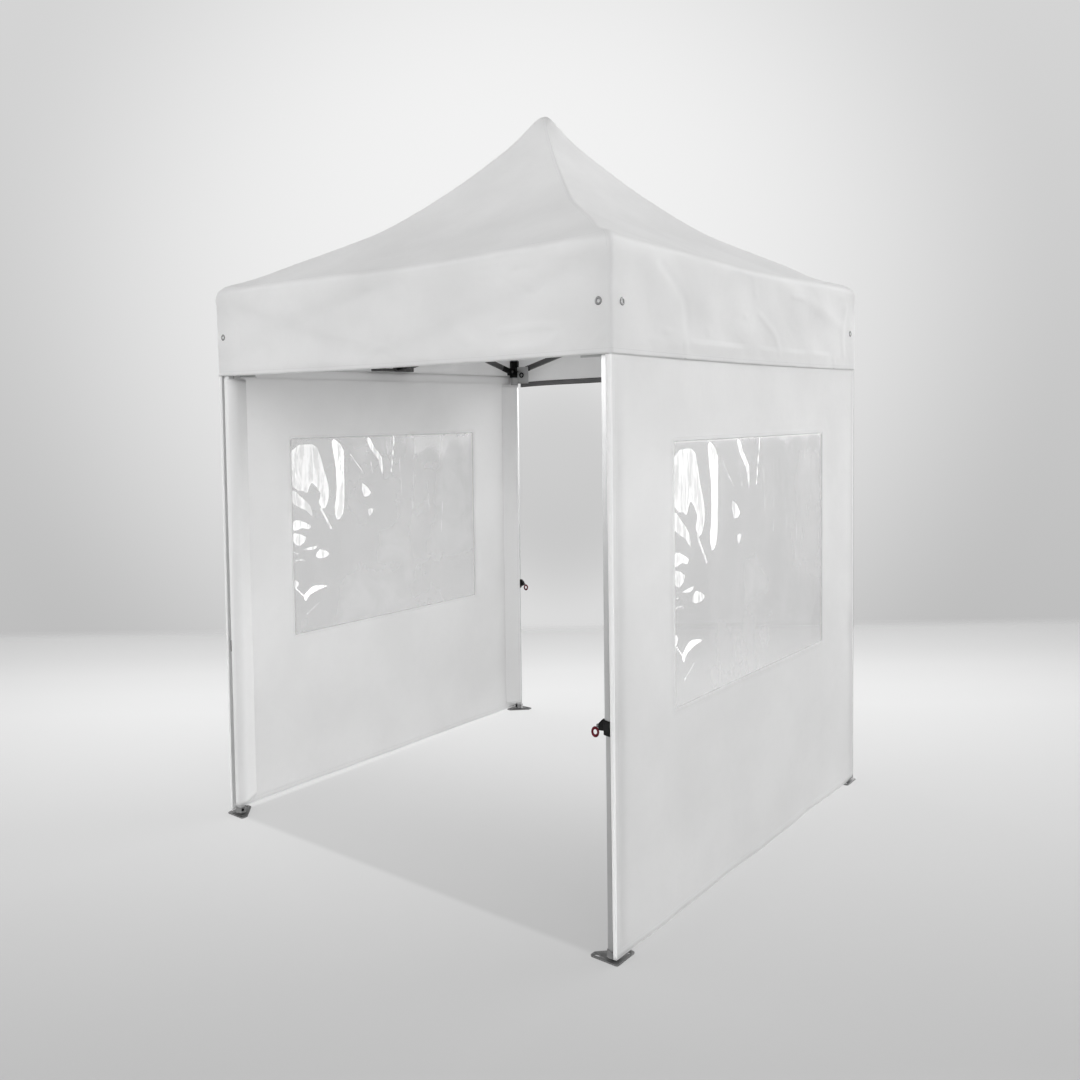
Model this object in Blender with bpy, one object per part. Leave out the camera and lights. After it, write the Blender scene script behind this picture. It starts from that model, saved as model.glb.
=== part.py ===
# Pop-up marquee tent, 2 by 2 m, on a hexagonal telescopic aluminium frame, with two side walls.
# Metres. +X is the right side seen from the open front, +Y runs to the back, +Z is up.
# The origin is on the ground, midway between the four legs.
import math

import bmesh
import bpy
from mathutils import Matrix, Vector

# Plan
LEG_AXIS = 0.980
SEAT_GAP = 0.0003
BAR_SHIFT = 0.008
CUT_MARGIN = 0.010

# Legs: hexagonal tubes, sizes across the flats
OUTER_LEG_FLATS = 0.038
INNER_LEG_FLATS = 0.032
TUBE_WALL = 0.002
OUTER_LEG_LOW = 0.735
OUTER_LEG_TOP = 2.200
INNER_LEG_TOP = 1.300

# Foot plates
PLATE_THICK = 0.005
PLATE_CORNER = 0.042
PLATE_ARM = 0.106
PLATE_TIP = 0.028
PLATE_ROUND = 0.008
SOCKET_HEIGHT = 0.028
SOCKET_WALL = 0.0025
PLATE_HOLE = 0.006
PLATE_HOLE_AT = (0.046, -0.027)
PLATE_SLOT_LENGTH = 0.010
PLATE_SLOT_AT = (-0.027, 0.044)

# Leg lock at the lower end of each outer leg
LOCK_LOW = 0.722
LOCK_TOP = 0.770
LOCK_FLATS = 0.045
LOCK_ANGLE = math.radians(105)
LOCK_ROOT = 0.004
HOUSING_REACH = 0.041
HOUSING_THICK = 0.020
HOUSING_LOW = 0.734
HOUSING_SHOULDER = 0.756
HOUSING_TOP = 0.7685
HOUSING_ARCH = 0.030
HOUSING_ROUND = 0.005
PIN_RADIUS = 0.004
PIN_CLEARANCE = 0.0006
PIN_START = 0.0215
PIN_HEAD_RADIUS = 0.0062
PIN_HEAD_LONG = 0.007
PIN_HEAD_GAP = 0.0012
PIN_HEIGHT = 0.746
RING_WIDE = 0.027
RING_TALL = 0.036
RING_STROKE = 0.0066
RING_DROP = 0.010

# Scissor trusses
UPPER_PIVOT = 2.222
LOWER_PIVOT = 1.985
HUB_UPPER_PIVOT = 2.247
HUB_LOWER_PIVOT = 2.022
PIVOT_INSET = 0.045
MID_SPREAD = 0.100
FORK_PIVOT = 0.050
HUB_PIVOT = 0.052
BAR_TALL = 0.032
BAR_THICK = 0.015
BAR_TRIM = 0.002
AXLE_RADIUS = 0.005
RIVET_RADIUS = 0.007
RIVET_HEAD = 0.003
BRACKET_FLATS = 0.0455
BRACKET_TOP = 2.2722
SLIDER_BELOW = 0.033
SLIDER_ABOVE = 0.063
SLEEVE_BELOW = 0.030
LUG_TALL = 0.042
LUG_CHEEK = 0.005
LUG_START = 0.008
LUG_REACH = 0.060
MID_BLOCK_LONG = 0.060
MID_BLOCK_DEEP = 0.042
MID_STRIP_TALL = 0.014
HUB_RADIUS = 0.030

# Peak pole
POLE_RADIUS = 0.014
POLE_LOW = 1.995
POLE_COLLAR = 0.024
COLLAR_TALL = 0.012
CAP_RADIUS = 0.045
CAP_TALL = 0.030

# Canopy: the hip's profile, as distance from the centre line and height, from peak to eave
CLOTH = 0.002
ROOF_DEPTH = 1.3 * CLOTH
ROOF_PROFILE = (
    (0.003, 3.0450),
    (0.020, 3.0280),
    (0.100, 2.9250),
    (0.180, 2.8370),
    (0.270, 2.7450),
    (0.360, 2.6630),
    (0.450, 2.5880),
    (0.530, 2.5300),
    (0.640, 2.4700),
    (0.800, 2.3880),
    (0.965, 2.3060),
)
EAVE_PROFILE = ((0.9653, 2.3058), (0.990, 2.2930), (1.004, 2.2810), (1.012, 2.2620), (1.015, 2.2350))
VALANCE_LOW = 1.920
STRIP_LOW = 1.925
STRIP_TOP = 1.957
STRIP_THICK = 0.0023

# Side walls
WALL_FACE = 1.0084
WALL_HALF = 1.010
WALL_LOW = 0.012
WALL_TOP = 1.962
WINDOW_HALF = 0.632
WINDOW_LOW = 0.728
WINDOW_TOP = 1.640
WINDOW_ROUND = 0.010
FILM = 0.001

CORNERS = (
    ("front_left", -1, -1, 0),
    ("front_right", 1, -1, 90),
    ("back_right", 1, 1, 180),
    ("back_left", -1, 1, 270),
)
SIDES = (("front", 0), ("right", 90), ("back", 180), ("left", 270))
WALLED_SIDES = ("left", "right")


def clear_scene():
    for obj in list(bpy.data.objects):
        bpy.data.objects.remove(obj)


def make_material(name, color, roughness, metallic=0.0, alpha=1.0):
    material = bpy.data.materials.new(name)
    material.use_nodes = True
    shader = material.node_tree.nodes["Principled BSDF"]
    shader.inputs["Base Color"].default_value = (*color, 1.0)
    shader.inputs["Roughness"].default_value = roughness
    shader.inputs["Metallic"].default_value = metallic
    shader.inputs["Alpha"].default_value = alpha
    return material


# Loose shapes. Each returns an object that is later placed, fused or cut.


def object_from(bm, name="shape"):
    bmesh.ops.recalc_face_normals(bm, faces=bm.faces)
    mesh = bpy.data.meshes.new(name)
    bm.to_mesh(mesh)
    bm.free()
    obj = bpy.data.objects.new(name, mesh)
    bpy.context.scene.collection.objects.link(obj)
    return obj


def extruded(points, low, high, name="shape"):
    # A flat outline in X and Y, raised from low to high.
    bm = bmesh.new()
    face = bm.faces.new([bm.verts.new((x, y, low)) for x, y in points])
    raised = bmesh.ops.extrude_face_region(bm, geom=[face])
    moved = [item for item in raised["geom"] if isinstance(item, bmesh.types.BMVert)]
    bmesh.ops.translate(bm, verts=moved, vec=(0, 0, high - low))
    return object_from(bm, name)


def rounded(points, radius, segments=2):
    # The outline with each corner as a short arc.
    result = []
    count = len(points)
    for index, point in enumerate(points):
        corner = Vector(point)
        before = (Vector(points[index - 1]) - corner).normalized()
        after = (Vector(points[(index + 1) % count]) - corner).normalized()
        half = before.angle(after) / 2
        centre = corner + (before + after).normalized() * (radius / math.sin(half))
        first = corner + before * (radius / math.tan(half)) - centre
        turn = first.angle_signed(corner + after * (radius / math.tan(half)) - centre)
        for step in range(segments + 1):
            result.append(centre + Matrix.Rotation(-turn * step / segments, 2) @ first)
    return [tuple(point) for point in result]


def box(size, centre, name="shape"):
    bm = bmesh.new()
    bmesh.ops.create_cube(bm, size=1.0)
    bmesh.ops.scale(bm, vec=size, verts=bm.verts)
    bmesh.ops.translate(bm, vec=centre, verts=bm.verts)
    return object_from(bm, name)


def hexagon(flats):
    # Corners of a hexagon with one flat towards the corner of the tent.
    radius = flats / math.sqrt(3)
    angles = [math.radians(15 + 60 * step) for step in range(6)]
    return [(radius * math.cos(angle), radius * math.sin(angle)) for angle in angles]


def hexagon_solid(flats, low, high, name="shape"):
    return extruded(hexagon(flats), low, high, name)


def rod(radius, start, end, segments=8, name="shape"):
    # A round rod between two points.
    start = Vector(start)
    line = Vector(end) - start
    bm = bmesh.new()
    bmesh.ops.create_cone(
        bm, cap_ends=True, segments=segments, radius1=radius, radius2=radius, depth=line.length
    )
    turn = line.to_track_quat("Z", "Y").to_matrix().to_4x4()
    place = Matrix.Translation(start + line / 2) @ turn
    bmesh.ops.transform(bm, matrix=place, verts=bm.verts)
    return object_from(bm, name)


def turned(profile, segments, name="shape"):
    # A profile of radius and height, spun round the Z axis and closed at both ends.
    bm = bmesh.new()
    verts = [bm.verts.new((radius, 0, height)) for radius, height in profile]
    edges = [bm.edges.new(pair) for pair in zip(verts, verts[1:])]
    bmesh.ops.spin(
        bm, geom=verts + edges, angle=math.tau, steps=segments, axis=(0, 0, 1), use_merge=True
    )
    bmesh.ops.remove_doubles(bm, verts=bm.verts, dist=0.00001)
    bmesh.ops.holes_fill(bm, edges=bm.edges, sides=0)
    return object_from(bm, name)


def combined(body, added=(), removed=()):
    steps = [(piece, "UNION") for piece in added] + [(piece, "DIFFERENCE") for piece in removed]
    for piece, operation in steps:
        modifier = body.modifiers.new(operation.lower(), "BOOLEAN")
        modifier.operation = operation
        modifier.object = piece
        modifier.solver = "EXACT"
    bpy.context.view_layer.update()
    graph = bpy.context.evaluated_depsgraph_get()
    mesh = bpy.data.meshes.new_from_object(body.evaluated_get(graph))
    body.modifiers.clear()
    body.data = mesh
    for piece, _ in steps:
        bpy.data.objects.remove(piece)
    return body


def finished(obj, name, material):
    obj.data.name = name
    obj.data.materials.clear()
    obj.data.materials.append(material)
    obj.data.shade_smooth()
    obj.data.set_sharp_from_angle(angle=math.radians(30))
    return obj


def placed(pattern, name, parent):
    # A copy of the pattern under its empty; all copies share one mesh.
    obj = bpy.data.objects.new(name, pattern.data)
    bpy.context.scene.collection.objects.link(obj)
    obj.parent = parent
    return obj


# Corner pieces, modelled about a leg's axis with +X and +Y along the two sides of the tent.


def outer_leg():
    tube = hexagon_solid(OUTER_LEG_FLATS, OUTER_LEG_LOW, OUTER_LEG_TOP)
    bore = hexagon_solid(
        OUTER_LEG_FLATS - 2 * TUBE_WALL, OUTER_LEG_LOW - TUBE_WALL, OUTER_LEG_TOP + TUBE_WALL
    )
    return combined(tube, removed=[bore])


def inner_leg():
    low = PLATE_THICK + SEAT_GAP
    tube = hexagon_solid(INNER_LEG_FLATS, low, INNER_LEG_TOP)
    bore = hexagon_solid(
        INNER_LEG_FLATS - 2 * TUBE_WALL, low - TUBE_WALL, INNER_LEG_TOP + TUBE_WALL
    )
    return combined(tube, removed=[bore])


def foot_plate():
    # A three-cornered plate whose square corner lies outside the leg, with a hexagonal socket.
    near = -PLATE_CORNER
    far = PLATE_ARM - PLATE_CORNER
    tip = PLATE_TIP - PLATE_CORNER
    outline = rounded([(near, near), (far, near), (far, tip), (tip, far), (near, far)], PLATE_ROUND)
    plate = extruded(outline, 0, PLATE_THICK)
    inside = INNER_LEG_FLATS + 2 * SEAT_GAP
    socket = hexagon_solid(inside + 2 * SOCKET_WALL, PLATE_THICK / 2, SOCKET_HEIGHT)
    well = hexagon_solid(inside, PLATE_THICK, SOCKET_HEIGHT + PLATE_THICK)
    hole = rod(PLATE_HOLE, (*PLATE_HOLE_AT, -PLATE_THICK), (*PLATE_HOLE_AT, 2 * PLATE_THICK), 12)
    slot_x, slot_y = PLATE_SLOT_AT
    half = PLATE_SLOT_LENGTH / 2
    slot_outline = rounded(
        [
            (slot_x - PLATE_HOLE, slot_y - half - PLATE_HOLE),
            (slot_x + PLATE_HOLE, slot_y - half - PLATE_HOLE),
            (slot_x + PLATE_HOLE, slot_y + half + PLATE_HOLE),
            (slot_x - PLATE_HOLE, slot_y + half + PLATE_HOLE),
        ],
        PLATE_HOLE - SEAT_GAP,
    )
    slot = extruded(slot_outline, -PLATE_THICK, 2 * PLATE_THICK)
    return combined(plate, added=[socket], removed=[well, hole, slot])


def lock_point(reach, height):
    return (reach * math.cos(LOCK_ANGLE), reach * math.sin(LOCK_ANGLE), height)


def lock_housing():
    # An arched housing for the spring pin, in the upright plane through the pin and the leg.
    outline = rounded(
        [
            (LOCK_ROOT, HOUSING_LOW),
            (HOUSING_REACH, HOUSING_LOW),
            (HOUSING_REACH, HOUSING_SHOULDER),
            (HOUSING_ARCH, HOUSING_TOP),
            (LOCK_ROOT, HOUSING_TOP),
        ],
        HOUSING_ROUND,
    )
    housing = extruded(outline, -HOUSING_THICK / 2, HOUSING_THICK / 2)
    upright = Matrix.Rotation(math.pi / 2, 4, "X")
    housing.data.transform(Matrix.Rotation(LOCK_ANGLE, 4, "Z") @ upright)
    return housing


def leg_lock():
    # A collar that closes the outer leg's end and guides the inner leg, with the pin's housing.
    above = LOCK_TOP + CUT_MARGIN
    collar = hexagon_solid(LOCK_FLATS, LOCK_LOW, LOCK_TOP)
    seat = hexagon_solid(OUTER_LEG_FLATS + 2 * SEAT_GAP, OUTER_LEG_LOW - SEAT_GAP, above)
    guide = hexagon_solid(OUTER_LEG_FLATS - 2 * TUBE_WALL, LOCK_LOW - CUT_MARGIN, above)
    bore = rod(
        PIN_RADIUS + PIN_CLEARANCE,
        lock_point(LOCK_ROOT, PIN_HEIGHT),
        lock_point(HOUSING_REACH + CUT_MARGIN, PIN_HEIGHT),
    )
    return combined(collar, added=[lock_housing()], removed=[seat, guide, bore])


def lock_ring():
    # The spring pin and the oval ring that hangs from its head, in the upright plane of the pin.
    head = HOUSING_REACH + PIN_HEAD_GAP
    head_end = head + PIN_HEAD_LONG
    pin_end = head_end + PIN_HEAD_GAP
    pin = rod(PIN_RADIUS, lock_point(PIN_START, PIN_HEIGHT), lock_point(pin_end, PIN_HEIGHT))
    knob = rod(PIN_HEAD_RADIUS, lock_point(head, PIN_HEIGHT), lock_point(head_end, PIN_HEIGHT))
    bm = bmesh.new()
    bmesh.ops.create_circle(bm, cap_ends=False, segments=6, radius=RING_STROKE / 2)
    middle = (RING_WIDE - RING_STROKE) / 2
    bmesh.ops.translate(bm, vec=(middle, 0, 0), verts=bm.verts)
    bmesh.ops.rotate(bm, cent=(0, 0, 0), matrix=Matrix.Rotation(math.pi / 2, 3, "X"), verts=bm.verts)
    bmesh.ops.spin(
        bm, geom=bm.verts[:] + bm.edges[:], angle=math.tau, steps=16, axis=(0, 0, 1), use_merge=True
    )
    bmesh.ops.scale(bm, vec=(1, RING_TALL / RING_WIDE, 1), verts=bm.verts)
    bmesh.ops.rotate(bm, cent=(0, 0, 0), matrix=Matrix.Rotation(math.pi / 2, 3, "X"), verts=bm.verts)
    bmesh.ops.rotate(bm, cent=(0, 0, 0), matrix=Matrix.Rotation(LOCK_ANGLE, 3, "Z"), verts=bm.verts)
    reach = head + PIN_HEAD_LONG / 2 + RING_WIDE / 2 - RING_STROKE / 2
    bmesh.ops.translate(bm, vec=lock_point(reach, PIN_HEIGHT - RING_DROP), verts=bm.verts)
    ring = object_from(bm)
    return combined(pin, added=[knob, ring])


def lug(reach, height, shift):
    # A fork for a bar's end that stands out along +X, shifted sideways: (solid, cuts).
    slot = BAR_THICK + 2 * SEAT_GAP
    width = slot + 2 * LUG_CHEEK
    middle = (LUG_REACH + LUG_START) / 2
    block = box((LUG_REACH - LUG_START, width, LUG_TALL), (middle, shift, height))
    inner = reach - BAR_TALL / 2 - BAR_TRIM
    outer = LUG_REACH + CUT_MARGIN
    tall = LUG_TALL + 2 * CUT_MARGIN
    gap = box((outer - inner, slot, tall), ((outer + inner) / 2, shift, height))
    hole = rod(
        AXLE_RADIUS + SEAT_GAP, (reach, shift - width, height), (reach, shift + width, height)
    )
    return block, [gap, hole]


def turn_about_z(pieces, degrees):
    for piece in pieces:
        piece.data.transform(Matrix.Rotation(math.radians(degrees), 4, "Z"))


def bracket(low, high, pivot, outward, cavity_top):
    # A nylon sleeve on the outer leg with two forks, one for each side's truss.
    shift = -BAR_SHIFT if outward else BAR_SHIFT
    sleeve = hexagon_solid(BRACKET_FLATS, low, high)
    along_x, cuts_x = lug(PIVOT_INSET, pivot, shift)
    along_y, cuts_y = lug(PIVOT_INSET, pivot, -shift)
    turn_about_z([along_y] + cuts_y, 90)
    seat = hexagon_solid(OUTER_LEG_FLATS + 2 * SEAT_GAP, low - CUT_MARGIN, cavity_top)
    return combined(sleeve, added=[along_x, along_y], removed=[seat] + cuts_x + cuts_y)


def corner_bracket():
    low = UPPER_PIVOT - LUG_TALL / 2 - SLEEVE_BELOW
    return bracket(low, BRACKET_TOP, UPPER_PIVOT, True, OUTER_LEG_TOP + SEAT_GAP)


def slider_bracket():
    low = LOWER_PIVOT - SLIDER_BELOW
    top = LOWER_PIVOT + SLIDER_ABOVE
    return bracket(low, top, LOWER_PIVOT, False, top + CUT_MARGIN)


# Side pieces, modelled for the front side and then turned about the tent's centre.


def bar(start, end, shift):
    # A bar in the XZ plane between two pivots, with rounded ends, shifted along Y.
    (x1, z1), (x2, z2) = start, end
    length = math.hypot(x2 - x1, z2 - z1)
    angle = math.atan2(z2 - z1, x2 - x1)
    half = BAR_TALL / 2
    reach = length / 2 + half - BAR_TRIM
    outline = rounded(
        [(-reach, -half), (reach, -half), (reach, half), (-reach, half)], half * 0.7, 1
    )
    piece = extruded(outline, -BAR_THICK / 2, BAR_THICK / 2)
    upright = Matrix.Rotation(math.pi / 2, 4, "X")
    tilt = Matrix.Rotation(-angle, 4, "Y")
    middle = Matrix.Translation(((x1 + x2) / 2, shift, (z1 + z2) / 2))
    piece.data.transform(middle @ tilt @ upright)
    return piece


def axle(x, z, shift):
    half = BAR_THICK / 2 + SEAT_GAP + LUG_CHEEK
    return rod(AXLE_RADIUS, (x, shift - half, z), (x, shift + half, z))


def mid_joint(height, shift):
    # The joint at the middle of a side: two end blocks for the bars on a lower strip,
    # and between them a fork facing inwards for the roof truss.
    block = box((2 * MID_SPREAD + MID_BLOCK_LONG, MID_BLOCK_DEEP, LUG_TALL), (0, 0, height))
    between = 2 * MID_SPREAD - MID_BLOCK_LONG
    lift = MID_STRIP_TALL + CUT_MARGIN
    recess = box(
        (between, MID_BLOCK_DEEP + CUT_MARGIN, LUG_TALL + 2 * CUT_MARGIN),
        (0, 0, height + lift),
    )
    fork, cuts = lug(FORK_PIVOT, height, shift)
    turn_about_z([fork] + cuts, 90)
    return [combined(block, removed=[recess]), fork], cuts


def side_truss():
    # Two crossed pairs of bars between the corner brackets above and the sliders below.
    end = LEG_AXIS - PIVOT_INSET
    middle = (MID_SPREAD + end) / 2
    level = (UPPER_PIVOT + LOWER_PIVOT) / 2
    rivet_half = BAR_SHIFT + BAR_THICK / 2 + RIVET_HEAD
    added = []
    for sign in (-1, 1):
        falling = bar((sign * end, UPPER_PIVOT), (sign * MID_SPREAD, LOWER_PIVOT), -BAR_SHIFT)
        rising = bar((sign * end, LOWER_PIVOT), (sign * MID_SPREAD, UPPER_PIVOT), BAR_SHIFT)
        rivet = rod(
            RIVET_RADIUS, (sign * middle, -rivet_half, level), (sign * middle, rivet_half, level)
        )
        added += [falling, rising, rivet]
        added.append(axle(sign * end, UPPER_PIVOT, -BAR_SHIFT))
        added.append(axle(sign * end, LOWER_PIVOT, BAR_SHIFT))
    upper, upper_cuts = mid_joint(UPPER_PIVOT, BAR_SHIFT)
    lower, lower_cuts = mid_joint(LOWER_PIVOT, -BAR_SHIFT)
    added += upper + lower
    piece = combined(added[0], added=added[1:], removed=upper_cuts + lower_cuts)
    piece.data.transform(Matrix.Translation((0, -LEG_AXIS, 0)))
    return piece


def roof_truss():
    # One crossed pair of bars from the middle of the side to the two hubs.
    near = HUB_PIVOT
    far = LEG_AXIS - FORK_PIVOT
    far_spread = UPPER_PIVOT - LOWER_PIVOT
    share = far_spread / (far_spread + HUB_UPPER_PIVOT - HUB_LOWER_PIVOT)
    middle = far + (near - far) * share
    level = UPPER_PIVOT + (HUB_LOWER_PIVOT - UPPER_PIVOT) * share
    falling = bar((far, UPPER_PIVOT), (near, HUB_LOWER_PIVOT), -BAR_SHIFT)
    rising = bar((far, LOWER_PIVOT), (near, HUB_UPPER_PIVOT), BAR_SHIFT)
    rivet_half = BAR_SHIFT + BAR_THICK / 2 + RIVET_HEAD
    rivet = rod(RIVET_RADIUS, (middle, -rivet_half, level), (middle, rivet_half, level))
    axles = [
        axle(far, UPPER_PIVOT, -BAR_SHIFT),
        axle(near, HUB_LOWER_PIVOT, -BAR_SHIFT),
        axle(far, LOWER_PIVOT, BAR_SHIFT),
        axle(near, HUB_UPPER_PIVOT, BAR_SHIFT),
    ]
    piece = combined(falling, added=[rising, rivet] + axles)
    piece.data.transform(Matrix.Rotation(-math.pi / 2, 4, "Z"))
    return piece


def hub(height, shift):
    # A round nylon hub with a fork to each side, bored for the pole.
    body = rod(HUB_RADIUS, (0, 0, height - LUG_TALL / 2), (0, 0, height + LUG_TALL / 2), 16)
    forks = []
    cuts = [
        rod(POLE_RADIUS + SEAT_GAP, (0, 0, height - LUG_TALL), (0, 0, height + LUG_TALL), 16)
    ]
    for _, degrees in SIDES:
        fork, fork_cuts = lug(HUB_PIVOT, height, shift)
        turn_about_z([fork] + fork_cuts, degrees - 90)
        forks.append(fork)
        cuts += fork_cuts
    return combined(body, added=forks, removed=cuts)


def roof_height(distance):
    # Height of the roof cloth's outer face at a distance from the centre line.
    for (h1, z1), (h2, z2) in zip(ROOF_PROFILE, ROOF_PROFILE[1:]):
        if distance <= h2:
            return z1 + (z2 - z1) * (distance - h1) / (h2 - h1)
    return ROOF_PROFILE[-1][1]


def peak_pole():
    # The pole through both hubs, with a collar on the upper one and a domed cap under the cloth.
    collar_low = HUB_UPPER_PIVOT + LUG_TALL / 2 + SEAT_GAP
    below = 2 * CLOTH + SEAT_GAP
    cap_low = roof_height(CAP_RADIUS) - below - CAP_TALL
    profile = [
        (0, POLE_LOW),
        (POLE_RADIUS, POLE_LOW),
        (POLE_RADIUS, collar_low),
        (POLE_COLLAR, collar_low),
        (POLE_COLLAR, collar_low + COLLAR_TALL),
        (POLE_RADIUS, collar_low + COLLAR_TALL),
        (POLE_RADIUS, cap_low),
        (CAP_RADIUS, cap_low + CAP_TALL * 0.6),
        (CAP_RADIUS, roof_height(CAP_RADIUS) - below),
        (0.020, roof_height(0.020) - below),
        (0.008, roof_height(0.008) - below),
        (0, roof_height(0.006) - below),
    ]
    return turned(profile, 16)


def mitred(profile, material_name):
    # A closed profile of distance and height, swept along the front side and mitred at the hips.
    bm = bmesh.new()
    loops = []
    for sign in (-1, 1):
        verts = [
            bm.verts.new((sign * (distance - SEAT_GAP / 2), -distance, height))
            for distance, height in profile
        ]
        face = bm.faces.new(verts)
        loops += face.edges[:]
    bmesh.ops.bridge_loops(bm, edges=loops)
    return object_from(bm, material_name)


def offset_inwards(points, thickness):
    # The same open line moved to its inner side, the side of the tent.
    moved = []
    for index, point in enumerate(points):
        before = Vector(points[max(index - 1, 0)])
        after = Vector(points[min(index + 1, len(points) - 1)])
        along = (after - before).normalized()
        inward = Vector((along.y, -along.x))
        moved.append(tuple(Vector(point) + inward * thickness))
    return moved


def roof_panel():
    below = [(distance, height - ROOF_DEPTH) for distance, height in ROOF_PROFILE]
    return mitred(list(ROOF_PROFILE) + below[::-1], "roof_panel")


def valance():
    # The upright skirt below the eave, with the thicker hook-and-loop strip on its inner face.
    outside = list(EAVE_PROFILE) + [(EAVE_PROFILE[-1][0], VALANCE_LOW)]
    inside = offset_inwards(outside, CLOTH)
    inner_face = inside[-1][0]
    inside[0] = (outside[0][0], outside[0][1] - ROOF_DEPTH)
    strip_face = inner_face - STRIP_THICK
    strip = [
        (inner_face, VALANCE_LOW),
        (inner_face, STRIP_LOW),
        (strip_face, STRIP_LOW),
        (strip_face, STRIP_TOP),
        (inner_face, STRIP_TOP),
    ]
    return mitred(outside + strip + inside[-2::-1], "valance")


def wall_plate(half_wide, low, high, near, thick, name, corner=None):
    # An upright sheet on the front side's plane, near being its inner face.
    outline = [(-half_wide, low), (half_wide, low), (half_wide, high), (-half_wide, high)]
    if corner:
        outline = rounded(outline, corner, 3)
    piece = extruded(outline, 0, thick, name)
    piece.data.transform(Matrix.Translation((0, -near, 0)) @ Matrix.Rotation(math.pi / 2, 4, "X"))
    return piece


def side_wall():
    sheet = wall_plate(WALL_HALF, WALL_LOW, WALL_TOP, WALL_FACE, CLOTH, "side_wall")
    near = WALL_FACE - CUT_MARGIN
    thick = CLOTH + 2 * CUT_MARGIN
    cut = wall_plate(WINDOW_HALF, WINDOW_LOW, WINDOW_TOP, near, thick, "cut", WINDOW_ROUND)
    return combined(sheet, removed=[cut])


def window():
    gap = SEAT_GAP
    return wall_plate(
        WINDOW_HALF - gap,
        WINDOW_LOW + gap,
        WINDOW_TOP - gap,
        WALL_FACE + (CLOTH - FILM) / 2,
        FILM,
        "window",
        WINDOW_ROUND - gap,
    )


def build():
    clear_scene()
    aluminium = make_material("aluminium", (0.78, 0.79, 0.80), 0.35, 1.0)
    steel = make_material("zinc_steel", (0.55, 0.56, 0.58), 0.45, 1.0)
    nylon = make_material("black_nylon", (0.02, 0.02, 0.022), 0.5)
    red = make_material("red_plastic", (0.35, 0.02, 0.03), 0.4)
    cloth = make_material("canopy_cloth", (0.86, 0.87, 0.88), 0.75)
    wall_cloth = make_material("wall_cloth", (0.80, 0.81, 0.82), 0.75)
    film = make_material("clear_film", (0.75, 0.77, 0.78), 0.15, 0.0, 0.45)

    corner_pieces = (
        ("outer_leg", outer_leg(), aluminium),
        ("inner_leg", inner_leg(), aluminium),
        ("foot_plate", foot_plate(), steel),
        ("leg_lock", leg_lock(), nylon),
        ("lock_ring", lock_ring(), red),
        ("corner_bracket", corner_bracket(), nylon),
        ("slider_bracket", slider_bracket(), nylon),
    )
    side_pieces = (
        ("side_truss", side_truss(), aluminium),
        ("roof_truss", roof_truss(), aluminium),
        ("roof_panel", roof_panel(), cloth),
        ("valance", valance(), cloth),
    )
    wall_pieces = (("side_wall", side_wall(), wall_cloth), ("window", window(), film))
    patterns = corner_pieces + side_pieces + wall_pieces
    for name, pattern, material in patterns:
        finished(pattern, name, material)

    for corner, x_sign, y_sign, degrees in CORNERS:
        empty = bpy.data.objects.new("corner_" + corner, None)
        bpy.context.scene.collection.objects.link(empty)
        empty.location = (x_sign * LEG_AXIS, y_sign * LEG_AXIS, 0)
        empty.rotation_euler = (0, 0, math.radians(degrees))
        for name, pattern, _ in corner_pieces:
            placed(pattern, name + "_" + corner, empty)

    for side, degrees in SIDES:
        empty = bpy.data.objects.new("side_" + side, None)
        bpy.context.scene.collection.objects.link(empty)
        empty.rotation_euler = (0, 0, math.radians(degrees))
        for name, pattern, _ in side_pieces:
            placed(pattern, name + "_" + side, empty)
        if side in WALLED_SIDES:
            for name, pattern, _ in wall_pieces:
                placed(pattern, name + "_" + side, empty)

    for _, pattern, _ in patterns:
        bpy.data.objects.remove(pattern)

    middle_pieces = (
        ("upper_hub", hub(HUB_UPPER_PIVOT, BAR_SHIFT), nylon),
        ("lower_hub", hub(HUB_LOWER_PIVOT, -BAR_SHIFT), nylon),
        ("peak_pole", peak_pole(), aluminium),
    )
    for name, piece, material in middle_pieces:
        piece.name = name
        finished(piece, name, material)


build()
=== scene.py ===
import math

import bmesh
import bpy
import numpy as np
from mathutils import Matrix, Vector
from mathutils.bvhtree import BVHTree


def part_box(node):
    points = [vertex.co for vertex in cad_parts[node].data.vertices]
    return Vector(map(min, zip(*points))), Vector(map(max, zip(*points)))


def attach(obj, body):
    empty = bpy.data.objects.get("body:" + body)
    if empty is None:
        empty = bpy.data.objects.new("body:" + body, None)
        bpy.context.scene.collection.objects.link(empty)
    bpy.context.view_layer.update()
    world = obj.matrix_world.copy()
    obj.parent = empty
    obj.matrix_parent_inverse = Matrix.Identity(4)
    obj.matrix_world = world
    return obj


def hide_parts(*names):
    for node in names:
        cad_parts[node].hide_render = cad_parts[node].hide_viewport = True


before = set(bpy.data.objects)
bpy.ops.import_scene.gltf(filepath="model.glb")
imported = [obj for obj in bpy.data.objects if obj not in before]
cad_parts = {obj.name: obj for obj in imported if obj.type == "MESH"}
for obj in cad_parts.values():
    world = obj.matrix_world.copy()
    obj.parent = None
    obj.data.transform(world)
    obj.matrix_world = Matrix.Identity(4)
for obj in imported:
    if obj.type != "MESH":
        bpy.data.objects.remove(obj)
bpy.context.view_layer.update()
print("frame loaded with", len(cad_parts), "nodes")

# How far each corner and side is turned from the front left corner and the front side
corners = {"front_left": 0, "front_right": 90, "back_right": 180, "back_left": 270}
sides = {"front": 0, "right": 90, "back": 180, "left": 270}
upperPivot = 2.222
lowerPivot = 1.985
hubUpperPivot = sum(corner.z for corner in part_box("upper_hub")) / 2
hubLowerPivot = sum(corner.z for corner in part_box("lower_hub")) / 2
legAxis = sum(corner.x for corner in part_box("outer_leg_front_right")) / 2


# Camera, and where what it sees lies on the tent

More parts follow.
